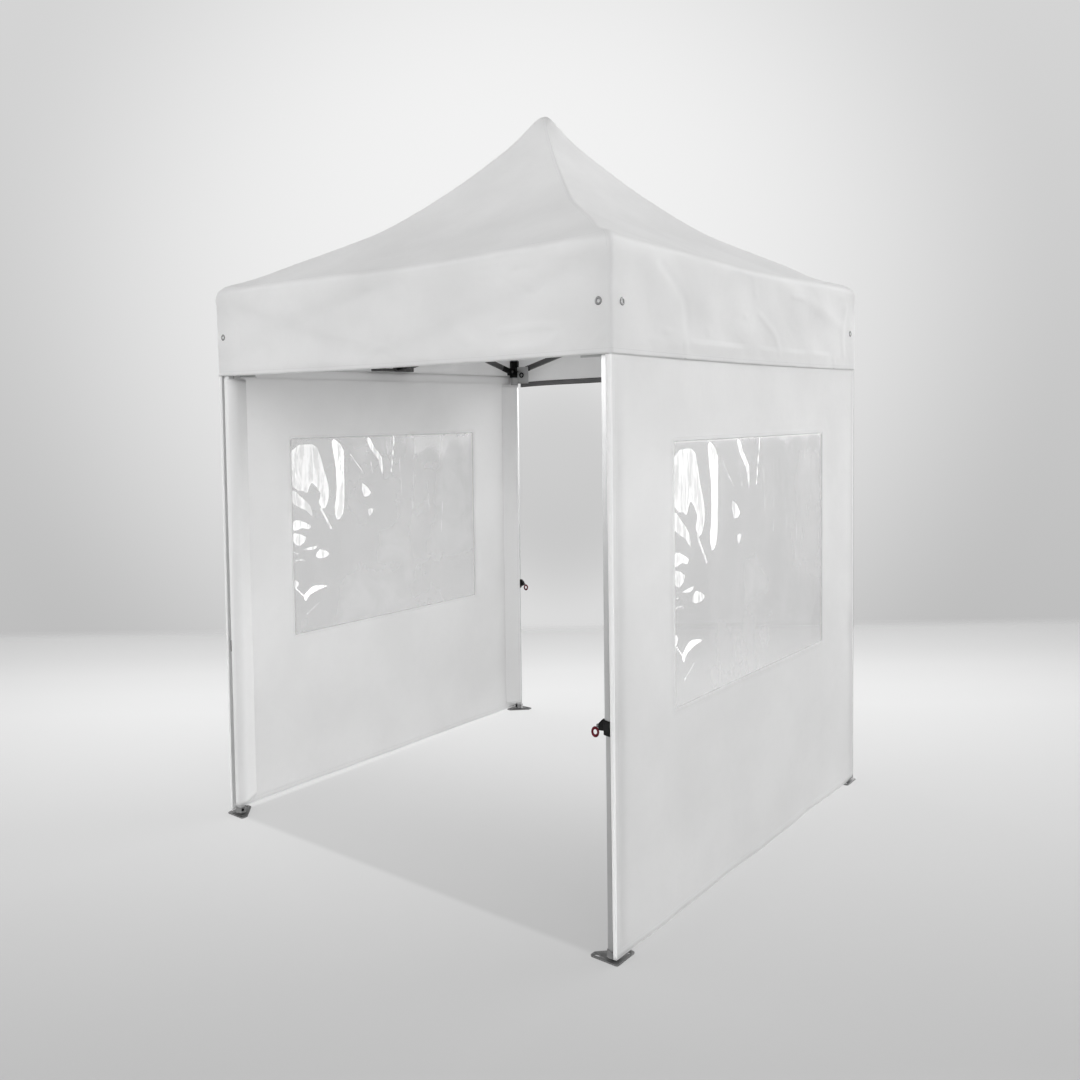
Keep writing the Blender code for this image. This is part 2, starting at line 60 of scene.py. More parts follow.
view = {
    "azimuth": 0.67945,
    "pitch": 0.04829,
    "roll": -0.01384,
    "position": (2.7351, -3.6132, 1.7368),
    "focal": 1010.69,  # in pixels of a 1080 by 1080 image
    "centre": (516.35, 463.57),
    "image": 1080,
}
# Parts of the photo as they were looked at: upper left corner in its pixels, and how many times enlarged
photoParts = {
    "frontValanceLeft": {"left": 200, "top": 230, "times": 6.533},
    "frontValanceRight": {"left": 430, "top": 230, "times": 7.467},
    "rightValance": {"left": 600, "top": 220, "times": 5.807},
    "leftWindow": {"left": 280, "top": 420, "times": 6.97},
}
cameraPlace = Vector(view["position"])
flatShare = math.cos(view["pitch"])
cameraBack = Vector((math.sin(view["azimuth"]), -math.cos(view["azimuth"]), 0)) * flatShare
cameraBack.z = math.sin(view["pitch"])
levelRight = (-cameraBack).cross(Vector((0, 0, 1))).normalized()
cameraRoll = Matrix.Rotation(view["roll"], 3, cameraBack)
cameraRight = cameraRoll @ levelRight
cameraUp = cameraRoll @ levelRight.cross(-cameraBack)


def placeSeen(spot, part, axis, plane):
    # Where a spot in an enlarged part of the photo lies on one of the tent's upright planes
    column = photoParts[part]["left"] + spot[0] / photoParts[part]["times"]
    row = photoParts[part]["top"] + spot[1] / photoParts[part]["times"]
    aside = (column - view["centre"][0]) / view["focal"]
    below = (row - view["centre"][1]) / view["focal"]
    ray = cameraRight * aside - cameraUp * below - cameraBack
    return cameraPlace + ray * ((plane - cameraPlace[axis]) / ray[axis])


# Shapes


def turnZ(degrees):
    return Matrix.Rotation(math.radians(degrees), 4, "Z")


def atCorner(corner):
    # From the front left corner's own frame, with +X and +Y inwards, to any corner
    return turnZ(corners[corner]) @ Matrix.Translation((-legAxis, -legAxis, 0))


def smoothStep(values, start, end):
    share = np.clip((values - start) / (end - start), 0, 1)
    return share * share * (3 - 2 * share)


def smoothLine(points, steps, closed=False):
    # A soft line through all the points
    knots = [Vector(point) for point in points]
    count = len(knots)
    line = []
    for index in range(count if closed else count - 1):
        before = knots[index - 1] if closed or index > 0 else knots[0]
        here = knots[index]
        after = knots[(index + 1) % count]
        beyond = knots[(index + 2) % count] if closed or index + 2 < count else knots[-1]
        for step in range(steps):
            t = step / steps
            line.append(
                (
                    before * (-t + 2 * t**2 - t**3)
                    + here * (2 - 5 * t**2 + 3 * t**3)
                    + after * (t + 4 * t**2 - 3 * t**3)
                    + beyond * (t**3 - t**2)
                )
                / 2
            )
    if not closed:
        line.append(knots[-1])
    return line


def spacedLine(points, spacing):
    # The same line with its points about that far apart
    line = np.array([tuple(point) for point in points])
    reach = np.concatenate([[0], np.cumsum(np.linalg.norm(np.diff(line, axis=0), axis=1))])
    at = np.linspace(0, reach[-1], max(1, round(reach[-1] / spacing)) + 1)
    return np.column_stack([np.interp(at, reach, line[:, 0]), np.interp(at, reach, line[:, 1])])


def lineDistance(x, y, line):
    # How far many points are from a line of points
    best = np.full(len(x), 9.0)
    for start, end in zip(line, line[1:]):
        stepX = end[0] - start[0]
        stepY = end[1] - start[1]
        along = (x - start[0]) * stepX + (y - start[1]) * stepY
        t = np.clip(along / max(stepX**2 + stepY**2, 1e-12), 0, 1)
        best = np.minimum(best, np.hypot(x - start[0] - t * stepX, y - start[1] - t * stepY))
    return best


def insideDistance(x, y, outline):
    # How far many points are inside (above 0) or outside (below 0) a closed outline
    best = lineDistance(x, y, outline + outline[:1])
    inside = np.zeros(len(x), bool)
    for start, end in zip(outline, outline[1:] + outline[:1]):
        crosses = (start[1] > y) != (end[1] > y)
        slope = (end[0] - start[0]) / ((end[1] - start[1]) or 1e-9)
        inside ^= crosses & (x < start[0] + slope * (y - start[1]))
    return np.where(inside, best, -best)


def meshPoints(mesh):
    points = np.zeros(len(mesh.vertices) * 3, np.float32)
    mesh.vertices.foreach_get("co", points)
    return points.reshape(-1, 3).astype(float)


def setMeshPoints(mesh, points):
    mesh.vertices.foreach_set("co", points.astype(np.float32).ravel())
    mesh.update()


def addValues(mesh, name, values):
    # A value at each vertex, for a material to read
    attribute = mesh.attributes.new(name, "FLOAT", "POINT")
    attribute.data.foreach_set("value", np.asarray(values, np.float32))


def makePiece(name, bm, materials, body="frame", sharp=32, recalculate=True):
    # A finished bmesh becomes a piece that rides on a body
    if recalculate:
        bmesh.ops.recalc_face_normals(bm, faces=bm.faces)
    mesh = bpy.data.meshes.new(name)
    bm.to_mesh(mesh)
    bm.free()
    for material in materials if isinstance(materials, (list, tuple)) else [materials]:
        mesh.materials.append(material)
    mesh.shade_smooth()
    mesh.set_sharp_from_angle(angle=math.radians(sharp))
    piece = bpy.data.objects.new(name, mesh)
    bpy.context.scene.collection.objects.link(piece)
    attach(piece, body)
    return piece


def newParts(bm, before):
    verts = [vert for vert in bm.verts if vert not in before]
    return verts, {face for vert in verts for face in vert.link_faces}


def place(bm, before, matrix, materialIndex=0):
    # Puts what was added since before in its place, and gives it a material of the piece
    verts, faces = newParts(bm, before)
    bmesh.ops.transform(bm, matrix=matrix, verts=verts)
    for face in faces:
        face.material_index = materialIndex


def bevelEdges(bm, edges, width, segments=2):
    bmesh.ops.bevel(
        bm,
        geom=list(edges),
        offset=width,
        offset_type="OFFSET",
        segments=segments,
        profile=0.5,
        affect="EDGES",
        clamp_overlap=True,
        material=-1,
    )


def addBlock(bm, size, matrix, width=0.0, materialIndex=0):
    # A block with rounded edges
    before = set(bm.verts)
    verts = bmesh.ops.create_cube(bm, size=1.0)["verts"]
    bmesh.ops.scale(bm, vec=size, verts=verts)
    if width:
        bevelEdges(bm, {edge for vert in verts for edge in vert.link_edges}, width)
    place(bm, before, matrix, materialIndex)


def spinRound(bm, geom, steps):
    bmesh.ops.spin(
        bm, geom=geom, cent=(0, 0, 0), axis=(0, 0, 1), angle=math.tau, steps=steps, use_merge=True
    )


def addTurned(bm, profile, matrix, steps=24, materialIndex=0):
    # A profile of radius and height, spun round Z and then put in its place
    before = set(bm.verts)
    verts = [bm.verts.new((radius, 0, height)) for radius, height in profile]
    edges = [bm.edges.new(pair) for pair in zip(verts, verts[1:])]
    spinRound(bm, verts + edges, steps)
    bmesh.ops.remove_doubles(bm, verts=newParts(bm, before)[0], dist=0.000002)
    bmesh.ops.recalc_face_normals(bm, faces=list(newParts(bm, before)[1]))
    place(bm, before, matrix, materialIndex)


def addTorus(bm, radius, stroke, matrix, steps=40, materialIndex=0):
    # A round ring of round wire about Z
    before = set(bm.verts)
    made = bmesh.ops.create_circle(bm, segments=12, radius=stroke / 2)
    verts = made["verts"]
    bmesh.ops.rotate(bm, verts=verts, cent=(0, 0, 0), matrix=Matrix.Rotation(math.pi / 2, 3, "X"))
    bmesh.ops.translate(bm, verts=verts, vec=(radius, 0, 0))
    spinRound(bm, verts + list({edge for vert in verts for edge in vert.link_edges}), steps)
    bmesh.ops.recalc_face_normals(bm, faces=list(newParts(bm, before)[1]))
    place(bm, before, matrix, materialIndex)


def pointing(position, direction):
    # A place whose Z looks along the direction
    turn = Vector(direction).to_track_quat("Z", "Y").to_matrix().to_4x4()
    return Matrix.Translation(position) @ turn


def addBolt(bm, position, direction, radius, materialIndex=0):
    # A hexagonal head on a washer
    spot = pointing(position, direction)
    washer = [(0, 0), (radius * 1.45, 0), (radius * 1.45, radius * 0.22), (0, radius * 0.25)]
    addTurned(bm, washer, spot, 20, materialIndex)
    before = set(bm.verts)
    made = bmesh.ops.create_cone(
        bm, cap_ends=True, segments=6, radius1=radius, radius2=radius, depth=radius * 0.7
    )
    bmesh.ops.translate(bm, verts=made["verts"], vec=(0, 0, radius * 0.6))
    bevelEdges(bm, {edge for vert in made["verts"] for edge in vert.link_edges}, radius * 0.1)
    place(bm, before, spot, materialIndex)


def addRivet(bm, position, direction, radius, materialIndex=0):
    # A low domed head
    dome = [(0, radius * 0.45), (radius * 0.5, radius * 0.38), (radius * 0.85, radius * 0.2), (radius, 0)]
    addTurned(bm, dome, pointing(position, direction), 16, materialIndex)


def refinedCopy(node, width, segments=2):
    # A merged copy of a CAD node with its edges softened
    bm = bmesh.new()
    bm.from_mesh(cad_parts[node].data)
    bmesh.ops.remove_doubles(bm, verts=bm.verts, dist=0.00002)
    bmesh.ops.dissolve_limit(
        bm, angle_limit=math.radians(1), verts=bm.verts, edges=bm.edges, use_dissolve_boundaries=False
    )
    edges = [
        edge
        for edge in bm.edges
        if len(edge.link_faces) == 2 and edge.calc_face_angle() > math.radians(35)
    ]
    bevelEdges(bm, edges, width, segments)
    return bm


# Materials


def newMaterial(name, **values):
    # A Principled material; the values are its own sockets, with camelCase for their names
    material = bpy.data.materials.new(name)
    material.use_nodes = True
    shader = material.node_tree.nodes["Principled BSDF"]
    known = {socket.name.lower().replace(" ", ""): socket for socket in shader.inputs}
    for key, value in values.items():
        known[key.lower()].default_value = value
    return material


def addNode(material, kind, inputs=None, **settings):
    # A node with its settings; an input is a value or another node's output
    node = material.node_tree.nodes.new("ShaderNode" + kind)
    for key, value in settings.items():
        setattr(node, key, value)
    for key, value in (inputs or {}).items():
        if isinstance(value, bpy.types.NodeSocket):
            material.node_tree.links.new(value, node.inputs[key])
        else:
            node.inputs[key].default_value = value
    return node


def setSocket(material, name, value):
    shader = material.node_tree.nodes["Principled BSDF"]
    material.node_tree.links.new(value, shader.inputs[name])


def objectPoint(material, scale=(1, 1, 1)):
    coordinates = addNode(material, "TexCoord")
    inputs = {"Vector": coordinates.outputs["Object"], "Scale": scale}
    return addNode(material, "Mapping", inputs).outputs["Vector"]


def uvPoint(material, uvName, scale=(1, 1, 1)):
    flat = addNode(material, "UVMap", uv_map=uvName)
    return addNode(material, "Mapping", {"Vector": flat.outputs["UV"], "Scale": scale}).outputs["Vector"]


def noiseAt(material, point, scale, detail=2.0, roughness=0.5, distortion=0.0):
    inputs = {
        "Vector": point,
        "Scale": scale,
        "Detail": detail,
        "Roughness": roughness,
        "Distortion": distortion,
    }
    return addNode(material, "TexNoise", inputs).outputs["Fac"]


def ranged(material, value, start, end, low, high, smooth=True):
    inputs = {
        "Value": value,
        "From Min": start,
        "From Max": end,
        "To Min": low,
        "To Max": high,
    }
    kind = "SMOOTHSTEP" if smooth else "LINEAR"
    return addNode(material, "MapRange", inputs, interpolation_type=kind).outputs["Result"]


def maths(material, operation, first, second=0.0):
    return addNode(material, "Math", {0: first, 1: second}, operation=operation).outputs[0]


def mixedColor(material, factor, first, second):
    inputs = {0: factor, 6: first, 7: second}
    return addNode(material, "Mix", inputs, data_type="RGBA").outputs[2]


def bumped(material, height, strength, distance, normal=None):
    inputs = {"Height": height, "Strength": strength, "Distance": distance}
    if normal:
        inputs["Normal"] = normal
    return addNode(material, "Bump", inputs).outputs["Normal"]


def grey(level, warmth=0.0):
    return (level * (1 + warmth), level, level * (1 - warmth), 1.0)


def stitchLine(material, along, across, at, pitch=0.0036, width=0.0007):
    # Dashes of thread along a line: 1 on the thread, 0 off it
    gap = maths(material, "ABSOLUTE", maths(material, "SUBTRACT", across, at))
    onLine = ranged(material, gap, width * 0.5, width * 1.2, 1.0, 0.0)
    dash = maths(material, "FRACT", maths(material, "DIVIDE", along, pitch))
    fromMiddle = maths(material, "ABSOLUTE", maths(material, "SUBTRACT", dash, 0.5))
    onDash = ranged(material, fromMiddle, 0.3, 0.4, 1.0, 0.0)
    return maths(material, "MULTIPLY", onLine, onDash)


def summed(material, values):
    total = values[0]
    for value in values[1:]:
        total = maths(material, "MAXIMUM", total, value)
    return total


clothLooks = {
    "pale": 0.84,
    "dull": 0.80,
    "thread": 0.70,
    "weaveScale": 330.0,  # bands of thread, about 0.95 mm apart
    "weaveDeep": 0.00012,
    "rumpleDeep": 0.0035,
    "translucency": 0.42,
}


def clothMaterial(name, point, along, across, seams, looks):
    # Coated woven polyester: thread relief, soft mottling, light rumples and stitched seams
    material = newMaterial(name, roughness=0.62, specularIorLevel=0.28, sheenWeight=0.06, sheenRoughness=0.5)
    flat = point(material)
    mottle = noiseAt(material, flat, 2.2, 3.0, 0.55)
    grime = noiseAt(material, flat, 38.0, 4.0, 0.6)
    mottleShare = ranged(material, mottle, 0.35, 0.68, 0.0, 1.0)
    base = mixedColor(material, mottleShare, grey(looks["dull"]), grey(looks["pale"]))
    grimeShare = ranged(material, grime, 0.5, 0.8, 0.0, 0.12)
    base = mixedColor(material, grimeShare, base, grey(looks["dull"] * 0.93))
    stitches = [stitchLine(material, a(material), b(material), at) for a, b, at in seams(along, across)]
    lines = summed(material, stitches)
    base = mixedColor(material, lines, base, grey(looks["thread"]))
    setSocket(material, "Base Color", base)
    roughness = ranged(material, grime, 0.3, 0.7, 0.56, 0.68)
    setSocket(material, "Roughness", roughness)
    warp = addNode(
        material,
        "TexWave",
        {"Vector": flat, "Scale": looks["weaveScale"]},
        wave_type="BANDS",
        bands_direction="X",
    ).outputs["Fac"]
    weft = addNode(
        material,
        "TexWave",
        {"Vector": flat, "Scale": looks["weaveScale"]},
        wave_type="BANDS",
        bands_direction="Y",
    ).outputs["Fac"]
    normal = bumped(material, maths(material, "MULTIPLY", warp, weft), 0.35, looks["weaveDeep"])
    rumple = noiseAt(material, flat, 7.0, 3.0, 0.45, 0.6)
    normal = bumped(material, rumple, 0.5, looks["rumpleDeep"], normal)
    normal = bumped(material, lines, 0.6, 0.0004, normal)
    setSocket(material, "Normal", normal)
    tree = material.node_tree
    glow = addNode(material, "BsdfTranslucent", {"Color": base, "Normal": normal})
    both = addNode(
        material,
        "MixShader",
        {0: looks["translucency"], 1: tree.nodes["Principled BSDF"].outputs[0], 2: glow.outputs[0]},
    )
    tree.links.new(both.outputs[0], tree.nodes["Material Output"].inputs["Surface"])
    return material


def readValue(attributeName):
    return lambda material: addNode(material, "Attribute", attribute_name=attributeName).outputs["Fac"]


def readAxis(pointOf, axis):
    return lambda material: addNode(material, "SeparateXYZ", {0: pointOf(material)}).outputs[axis]


def canopyPoint(material):
    return uvPoint(material, "cloth")


canopyCloth = clothMaterial(
    "coatedCanopyCloth",
    canopyPoint,
    readAxis(canopyPoint, "X"),
    readValue("hemGap"),
    lambda along, across: [
        (along, readValue("hemGap"), 0.018),
        (along, readValue("hemGap"), 0.0035),
        (along, readValue("eaveGap"), 0.005),
        (readAxis(canopyPoint, "Y"), readValue("hipGap"), 0.014),
    ],
    clothLooks,
)
wallCloth = clothMaterial(
    "coatedWallCloth",
    objectPoint,
    readAxis(objectPoint, "Y"),
    readAxis(objectPoint, "Z"),
    lambda along, across: [
        (readValue("runLine"), readValue("hemGap"), 0.022),
        (readValue("runLine"), readValue("windowGap"), 0.012),
    ],
    dict(clothLooks, pale=0.83, dull=0.79, rumpleDeep=0.0028),
)
flapCloth = clothMaterial(
    "blackoutFlapCloth",
    objectPoint,
    readAxis(objectPoint, "Y"),
    readAxis(objectPoint, "Z"),
    lambda along, across: [(readValue("runLine"), readValue("hemGap"), 0.010)],
    dict(clothLooks, pale=0.75, dull=0.72, translucency=0.04, rumpleDeep=0.0028),
)
# The back flap's cloth is paler than the front flap's: painted light that lifts the shade where it stands
paintedLightBackFlapCloth = clothMaterial(
    "paintedLightBackFlapCloth",
    objectPoint,
    readAxis(objectPoint, "Y"),
    readAxis(objectPoint, "Z"),
    lambda along, across: [(readValue("runLine"), readValue("hemGap"), 0.010)],
    dict(clothLooks, pale=0.95, dull=0.93, translucency=0.10, rumpleDeep=0.0028),
)
for cloth in (wallCloth, flapCloth, paintedLightBackFlapCloth):
    # Painted shade: a little greyer towards the floor; the wall's edges are bound in white, with its back
    # edge painted dark as shade
    plainColor = cloth.node_tree.nodes["Principled BSDF"].inputs["Base Color"].links[0].from_socket
    paintedLowShade = ranged(cloth, readAxis(objectPoint, "Z")(cloth), 0.15, 1.45, 0.34, 0.0)
    color = mixedColor(cloth, paintedLowShade, plainColor, grey(0.42))
    if cloth is wallCloth:
        edge = ranged(cloth, readValue("hemGap")(cloth), 0.003, 0.005, 1.0, 0.0)
        # The back edge is painted dark, as the shade along the back leg
        paintedBackShade = ranged(cloth, readAxis(objectPoint, "Y")(cloth), 0.94, 0.96, 0.0, 1.0)
        binding = mixedColor(cloth, paintedBackShade, grey(0.96), grey(0.16))
        color = mixedColor(cloth, edge, color, binding)
        # A sewn heading along the top, under the valance, lets hardly any light through; its paler colour is
        # painted light that lifts the shade there
        height = readAxis(objectPoint, "Z")(cloth)
        color = mixedColor(cloth, ranged(cloth, height, 1.906, 1.928, 0.0, 1.0), color, grey(0.94))
        both = cloth.node_tree.nodes["Mix Shader"]
        letsThrough = ranged(cloth, height, 1.906, 1.928, clothLooks["translucency"], 0.05)
        cloth.node_tree.links.new(letsThrough, both.inputs[0])
    setSocket(cloth, "Base Color", color)


def metalMaterial(name, tone, spread, roughness, scale, bumpDeep):
    # Metal with drawn or rolled marks, uneven polish and a little tarnish
    material = newMaterial(name, metallic=1.0, roughness=roughness)
    marks = noiseAt(material, objectPoint(material, scale), 1.0, 4.0, 0.6)
    blotch = noiseAt(material, objectPoint(material), 14.0, 3.0, 0.5)
    drawn = mixedColor(material, marks, grey(tone - spread, -0.01), grey(tone + spread, 0.0))
    blotchShare = ranged(material, blotch, 0.5, 0.8, 0.0, 0.35)
    stained = mixedColor(material, blotchShare, drawn, grey(tone * 0.8, 0.01))
    setSocket(material, "Base Color", stained)
    setSocket(material, "Roughness", ranged(material, marks, 0.3, 0.7, roughness - 0.06, roughness + 0.08))
    setSocket(material, "Normal", bumped(material, marks, 0.25, bumpDeep))
    return material


def plasticMaterial(name, dark, light, roughness, gloss=0.45):
    # Moulded plastic with a fine spark-eroded skin and rubbed places
    material = newMaterial(name, roughness=roughness, specularIorLevel=gloss)
    skin = noiseAt(material, objectPoint(material), 900.0, 2.0, 0.6)
    rubbed = noiseAt(material, objectPoint(material), 45.0, 4.0, 0.6)
    color = mixedColor(material, ranged(material, rubbed, 0.42, 0.75, 0.0, 1.0), dark, light)
    setSocket(material, "Base Color", color)
    setSocket(material, "Roughness", ranged(material, rubbed, 0.35, 0.7, roughness + 0.06, roughness - 0.08))
    setSocket(material, "Normal", bumped(material, skin, 0.3, 0.0002))
    return material


aluminium = metalMaterial("drawnAluminium", 0.50, 0.04, 0.36, (420, 420, 3), 0.00008)
barAluminium = metalMaterial("barAluminium", 0.17, 0.04, 0.42, (40, 40, 260), 0.00008)
zincSteel = metalMaterial("zincSteel", 0.19, 0.05, 0.46, (70, 70, 70), 0.0002)
blackNylon = plasticMaterial("blackNylon", grey(0.0035), grey(0.009), 0.60, 0.12)
barFinish = [barAluminium, blackNylon, zincSteel]
redPlastic = plasticMaterial("crimsonPlastic", (0.075, 0.0, 0.006, 1), (0.13, 0.001, 0.012, 1), 0.5, 0.15)
plateSteel = metalMaterial("plateSteel", 0.52, 0.05, 0.5, (60, 60, 60), 0.0002)
jointNylon = plasticMaterial("greyNylon", grey(0.07), grey(0.12), 0.5)
brass = metalMaterial("agedBrass", 0.17, 0.04, 0.34, (300, 300, 300), 0.00005)


def tapeMaterial(name, low, high, edge):
    # Hook and loop pile, darker along its two edges
    material = newMaterial(name, roughness=0.95, specularIorLevel=0.1, sheenWeight=0.4, sheenRoughness=0.6)
    pile = noiseAt(material, objectPoint(material), 700.0, 3.0, 0.7)
    color = mixedColor(material, pile, grey(low), grey(high))
    share = maths(material, "SUBTRACT", readValue("tapeShare")(material), 0.5)
    atEdge = ranged(material, maths(material, "ABSOLUTE", share), 0.34, 0.42, 0.0, 1.0)
    setSocket(material, "Base Color", mixedColor(material, atEdge, color, grey(edge)))
    setSocket(material, "Normal", bumped(material, pile, 0.7, 0.0008))
    return material


hookTape = tapeMaterial("hookTape", 0.09, 0.19, 0.03)
paleTape = tapeMaterial("paleTape", 0.62, 0.76, 0.58)
print("materials made")


# Canopy: one sheet from the peak over the eave to the hem, cut in four gores

canopy = {
    "peak": [(0.0, 3.0445), (0.012, 3.0425), (0.024, 3.0350), (0.037, 3.0210), (0.055, 2.9960)],
    "peakFrom": 0.08,
    "bend": [(0.9655, 2.3058), (0.9850, 2.2970), (1.0000, 2.2880), (1.0095, 2.2770), (1.0135, 2.2640)],
    "valanceTop": (1.015, 2.248),
    "valanceLow": 1.920,
    "roofStep": 0.040,
    "bendStep": 0.0055,
    "valanceStep": 0.0092,
    "columns": {"front": 194, "right": 140, "back": 90, "left": 100},
    "cornerRound": 0.012,
    "peakRound": 1.18,
    "panelSag": 0.018,
    "eaveSag": 0.013,
    "cornerLift": 0.006,
    "cornerDip": 0.010,
    "pullIn": 0.006,
    "wave": 0.0022,
    "hem": 0.020,
    "hemRaise": 0.0007,
    "binding": 0.017,
    "bindingRaise": 0.0003,
    "cornerPush": 0.003,
    "thickness": 0.0012,
}

# Folds seen in the valances: height, half width, and the spots that each goes through in a part of the photo
seenFolds = {
    "frontValanceLeft": {
        "upperCrease": (0.0030, 0.010, [(800, 460), (800, 590)]),
        "lowerCrease": (0.0026, 0.009, [(772, 720), (765, 850)]),
        "slantingHollow": (-0.0030, 0.034, [(380, 680), (700, 570), (1080, 390)]),
        "shortSlant": (0.0022, 0.009, [(345, 815), (385, 775)]),
        "hemArch": (0.0034, 0.014, [(1060, 830), (1180, 750), (1300, 830)]),
        "eaveStreak": (0.0018, 0.008, [(1060, 350), (1130, 350)]),
    },
    "frontValanceRight": {
        "eaveHollow": (-0.0030, 0.010, [(620, 290), (700, 268), (790, 290)]),
        "fallingLine": (0.0022, 0.009, [(690, 370), (740, 410)]),
        "leftRidge": (0.0018, 0.009, [(300, 310), (420, 320)]),
        "levelRidge": (0.0016, 0.010, [(480, 400), (545, 395)]),
        "upperLine": (0.0018, 0.010, [(540, 310), (620, 365)]),
        "risingLine": (0.0018, 0.009, [(820, 480), (860, 440)]),
        "middleDent": (-0.0018, 0.009, [(710, 460), (790, 465)]),
        "topHollow": (-0.0022, 0.009, [(960, 222), (1100, 212)]),
        "lowFold": (0.0032, 0.011, [(520, 750), (770, 710), (940, 715)]),
        "hemFold": (0.0040, 0.022, [(560, 900), (850, 860), (950, 780)]),
        "softHook": (0.0032, 0.022, [(200, 770), (330, 850), (250, 960)]),
    },
    "rightValance": {
        "upperCrease": (0.0030, 0.010, [(905, 320), (915, 415)]),
        "longBend": (0.0026, 0.014, [(940, 540), (1020, 660), (1045, 775)]),
        "wideBand": (0.0032, 0.034, [(1060, 350), (1250, 480), (1400, 620)]),
        "levelRidge": (0.0022, 0.009, [(1120, 430), (1190, 445)]),
        "middleDot": (0.0016, 0.009, [(845, 540), (860, 550)]),
        "hemPucker1": (0.0022, 0.009, [(500, 760), (500, 700)]),
        "hemPucker2": (0.0020, 0.009, [(685, 770), (685, 740)]),
        "hemPucker3": (0.0022, 0.009, [(1145, 815), (1145, 770)]),
        "hemPucker4": (0.0018, 0.009, [(1360, 835), (1360, 815)]),
        "upperPucker": (0.0016, 0.009, [(640, 650), (640, 625)]),
        "cornerRidge": (0.0018, 0.009, [(380, 640), (410, 635)]),
    },
}
# Folds that are guessed: height, half width, and the points along the side and up
guessedFolds = {
    "front": [
        (0.0034, 0.012, [(0.944, 1.945), (0.975, 1.975), (0.992, 1.990)]),
        (-0.0024, 0.020, [(-0.560, 2.232), (-0.480, 2.180), (-0.470, 2.120)]),
        (0.0024, 0.018, [(-0.930, 2.210), (-0.860, 2.120), (-0.850, 2.000)]),
        (0.0022, 0.016, [(0.120, 2.220), (0.180, 2.120), (0.170, 2.030)]),
    ],
    "right": [
        (-0.0024, 0.022, [(-0.700, 2.225), (-0.560, 2.130), (-0.540, 2.040)]),
        (0.0022, 0.018, [(0.900, 2.200), (0.860, 2.080), (0.870, 1.990)]),
    ],
}


def foldsIn(part, axis, plane):
    # The seen folds with their points along the side and up, to the millimetre
    folds = []
    for rise, width, spots in seenFolds[part].values():
        places = [placeSeen(spot, part, axis, plane) for spot in spots]
        folds.append((rise, width, [(round(place[1 - axis], 3), round(place.z, 3)) for place in places]))
    return folds


def mirroredFolds(folds):
    return [(rise, width, [(-along, height) for along, height in line]) for rise, width, line in folds]


valanceFace = canopy["valanceTop"][0]
frontFolds = foldsIn("frontValanceLeft", 1, -valanceFace) + foldsIn("frontValanceRight", 1, -valanceFace)
frontFolds += guessedFolds["front"]
rightFolds = foldsIn("rightValance", 0, valanceFace) + guessedFolds["right"]
foldsOf = {
    "front": frontFolds,
    "right": rightFolds,
    "back": mirroredFolds(frontFolds),
    "left": mirroredFolds(rightFolds),
}


def hipRows():
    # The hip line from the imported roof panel, then the eave's bend and the valance
    heights = {}
    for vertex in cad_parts["roof_panel_front"].data.vertices:
        reach = round(-vertex.co.y, 4)
        heights[reach] = max(heights.get(reach, 0), vertex.co.z)
    known = [spot for spot in sorted(heights.items()) if spot[0] > canopy["peakFrom"]]
    line = smoothLine(canopy["peak"] + known, 8)
    roof = np.concatenate([line[:24:2], spacedLine(line[24:], canopy["roofStep"])])
    bend = spacedLine(smoothLine(canopy["bend"] + [canopy["valanceTop"]], 8), canopy["bendStep"])
    low = (canopy["valanceTop"][0], canopy["valanceLow"])
    skirt = spacedLine([canopy["valanceTop"], low], canopy["valanceStep"])
    return np.concatenate([roof, bend, skirt[1:]]), len(roof) - 1


def canopyMesh(rows):
    # The hip line is spun to four gores, and each gore gets its columns
    bm = bmesh.new()
    hip = [bm.verts.new((reach, -reach, height)) for reach, height in rows]
    line = [bm.edges.new(pair) for pair in zip(hip, hip[1:])]
    spinRound(bm, hip + line, 4)
    bmesh.ops.remove_doubles(bm, verts=bm.verts, dist=0.000001)
    for side, degrees in sides.items():
        facing = turnZ(degrees) @ Vector((0, -1, 0))
        level = []
        for edge in bm.edges:
            first, second = (vert.co for vert in edge.verts)
            middle = (first + second) / 2
            middle.z = 0
            if abs(first.z - second.z) < 0.000001 and middle.length > 0:
                if middle.normalized().dot(facing) > 0.999:
                    level.append(edge)
        bmesh.ops.subdivide_edges(
            bm, edges=level, cuts=canopy["columns"][side] - 1, use_grid_fill=True
        )
    bmesh.ops.recalc_face_normals(bm, faces=bm.faces)
    if sum(face.normal.z * face.calc_area() for face in bm.faces) < 0:
        bmesh.ops.reverse_faces(bm, faces=bm.faces)
    return bm


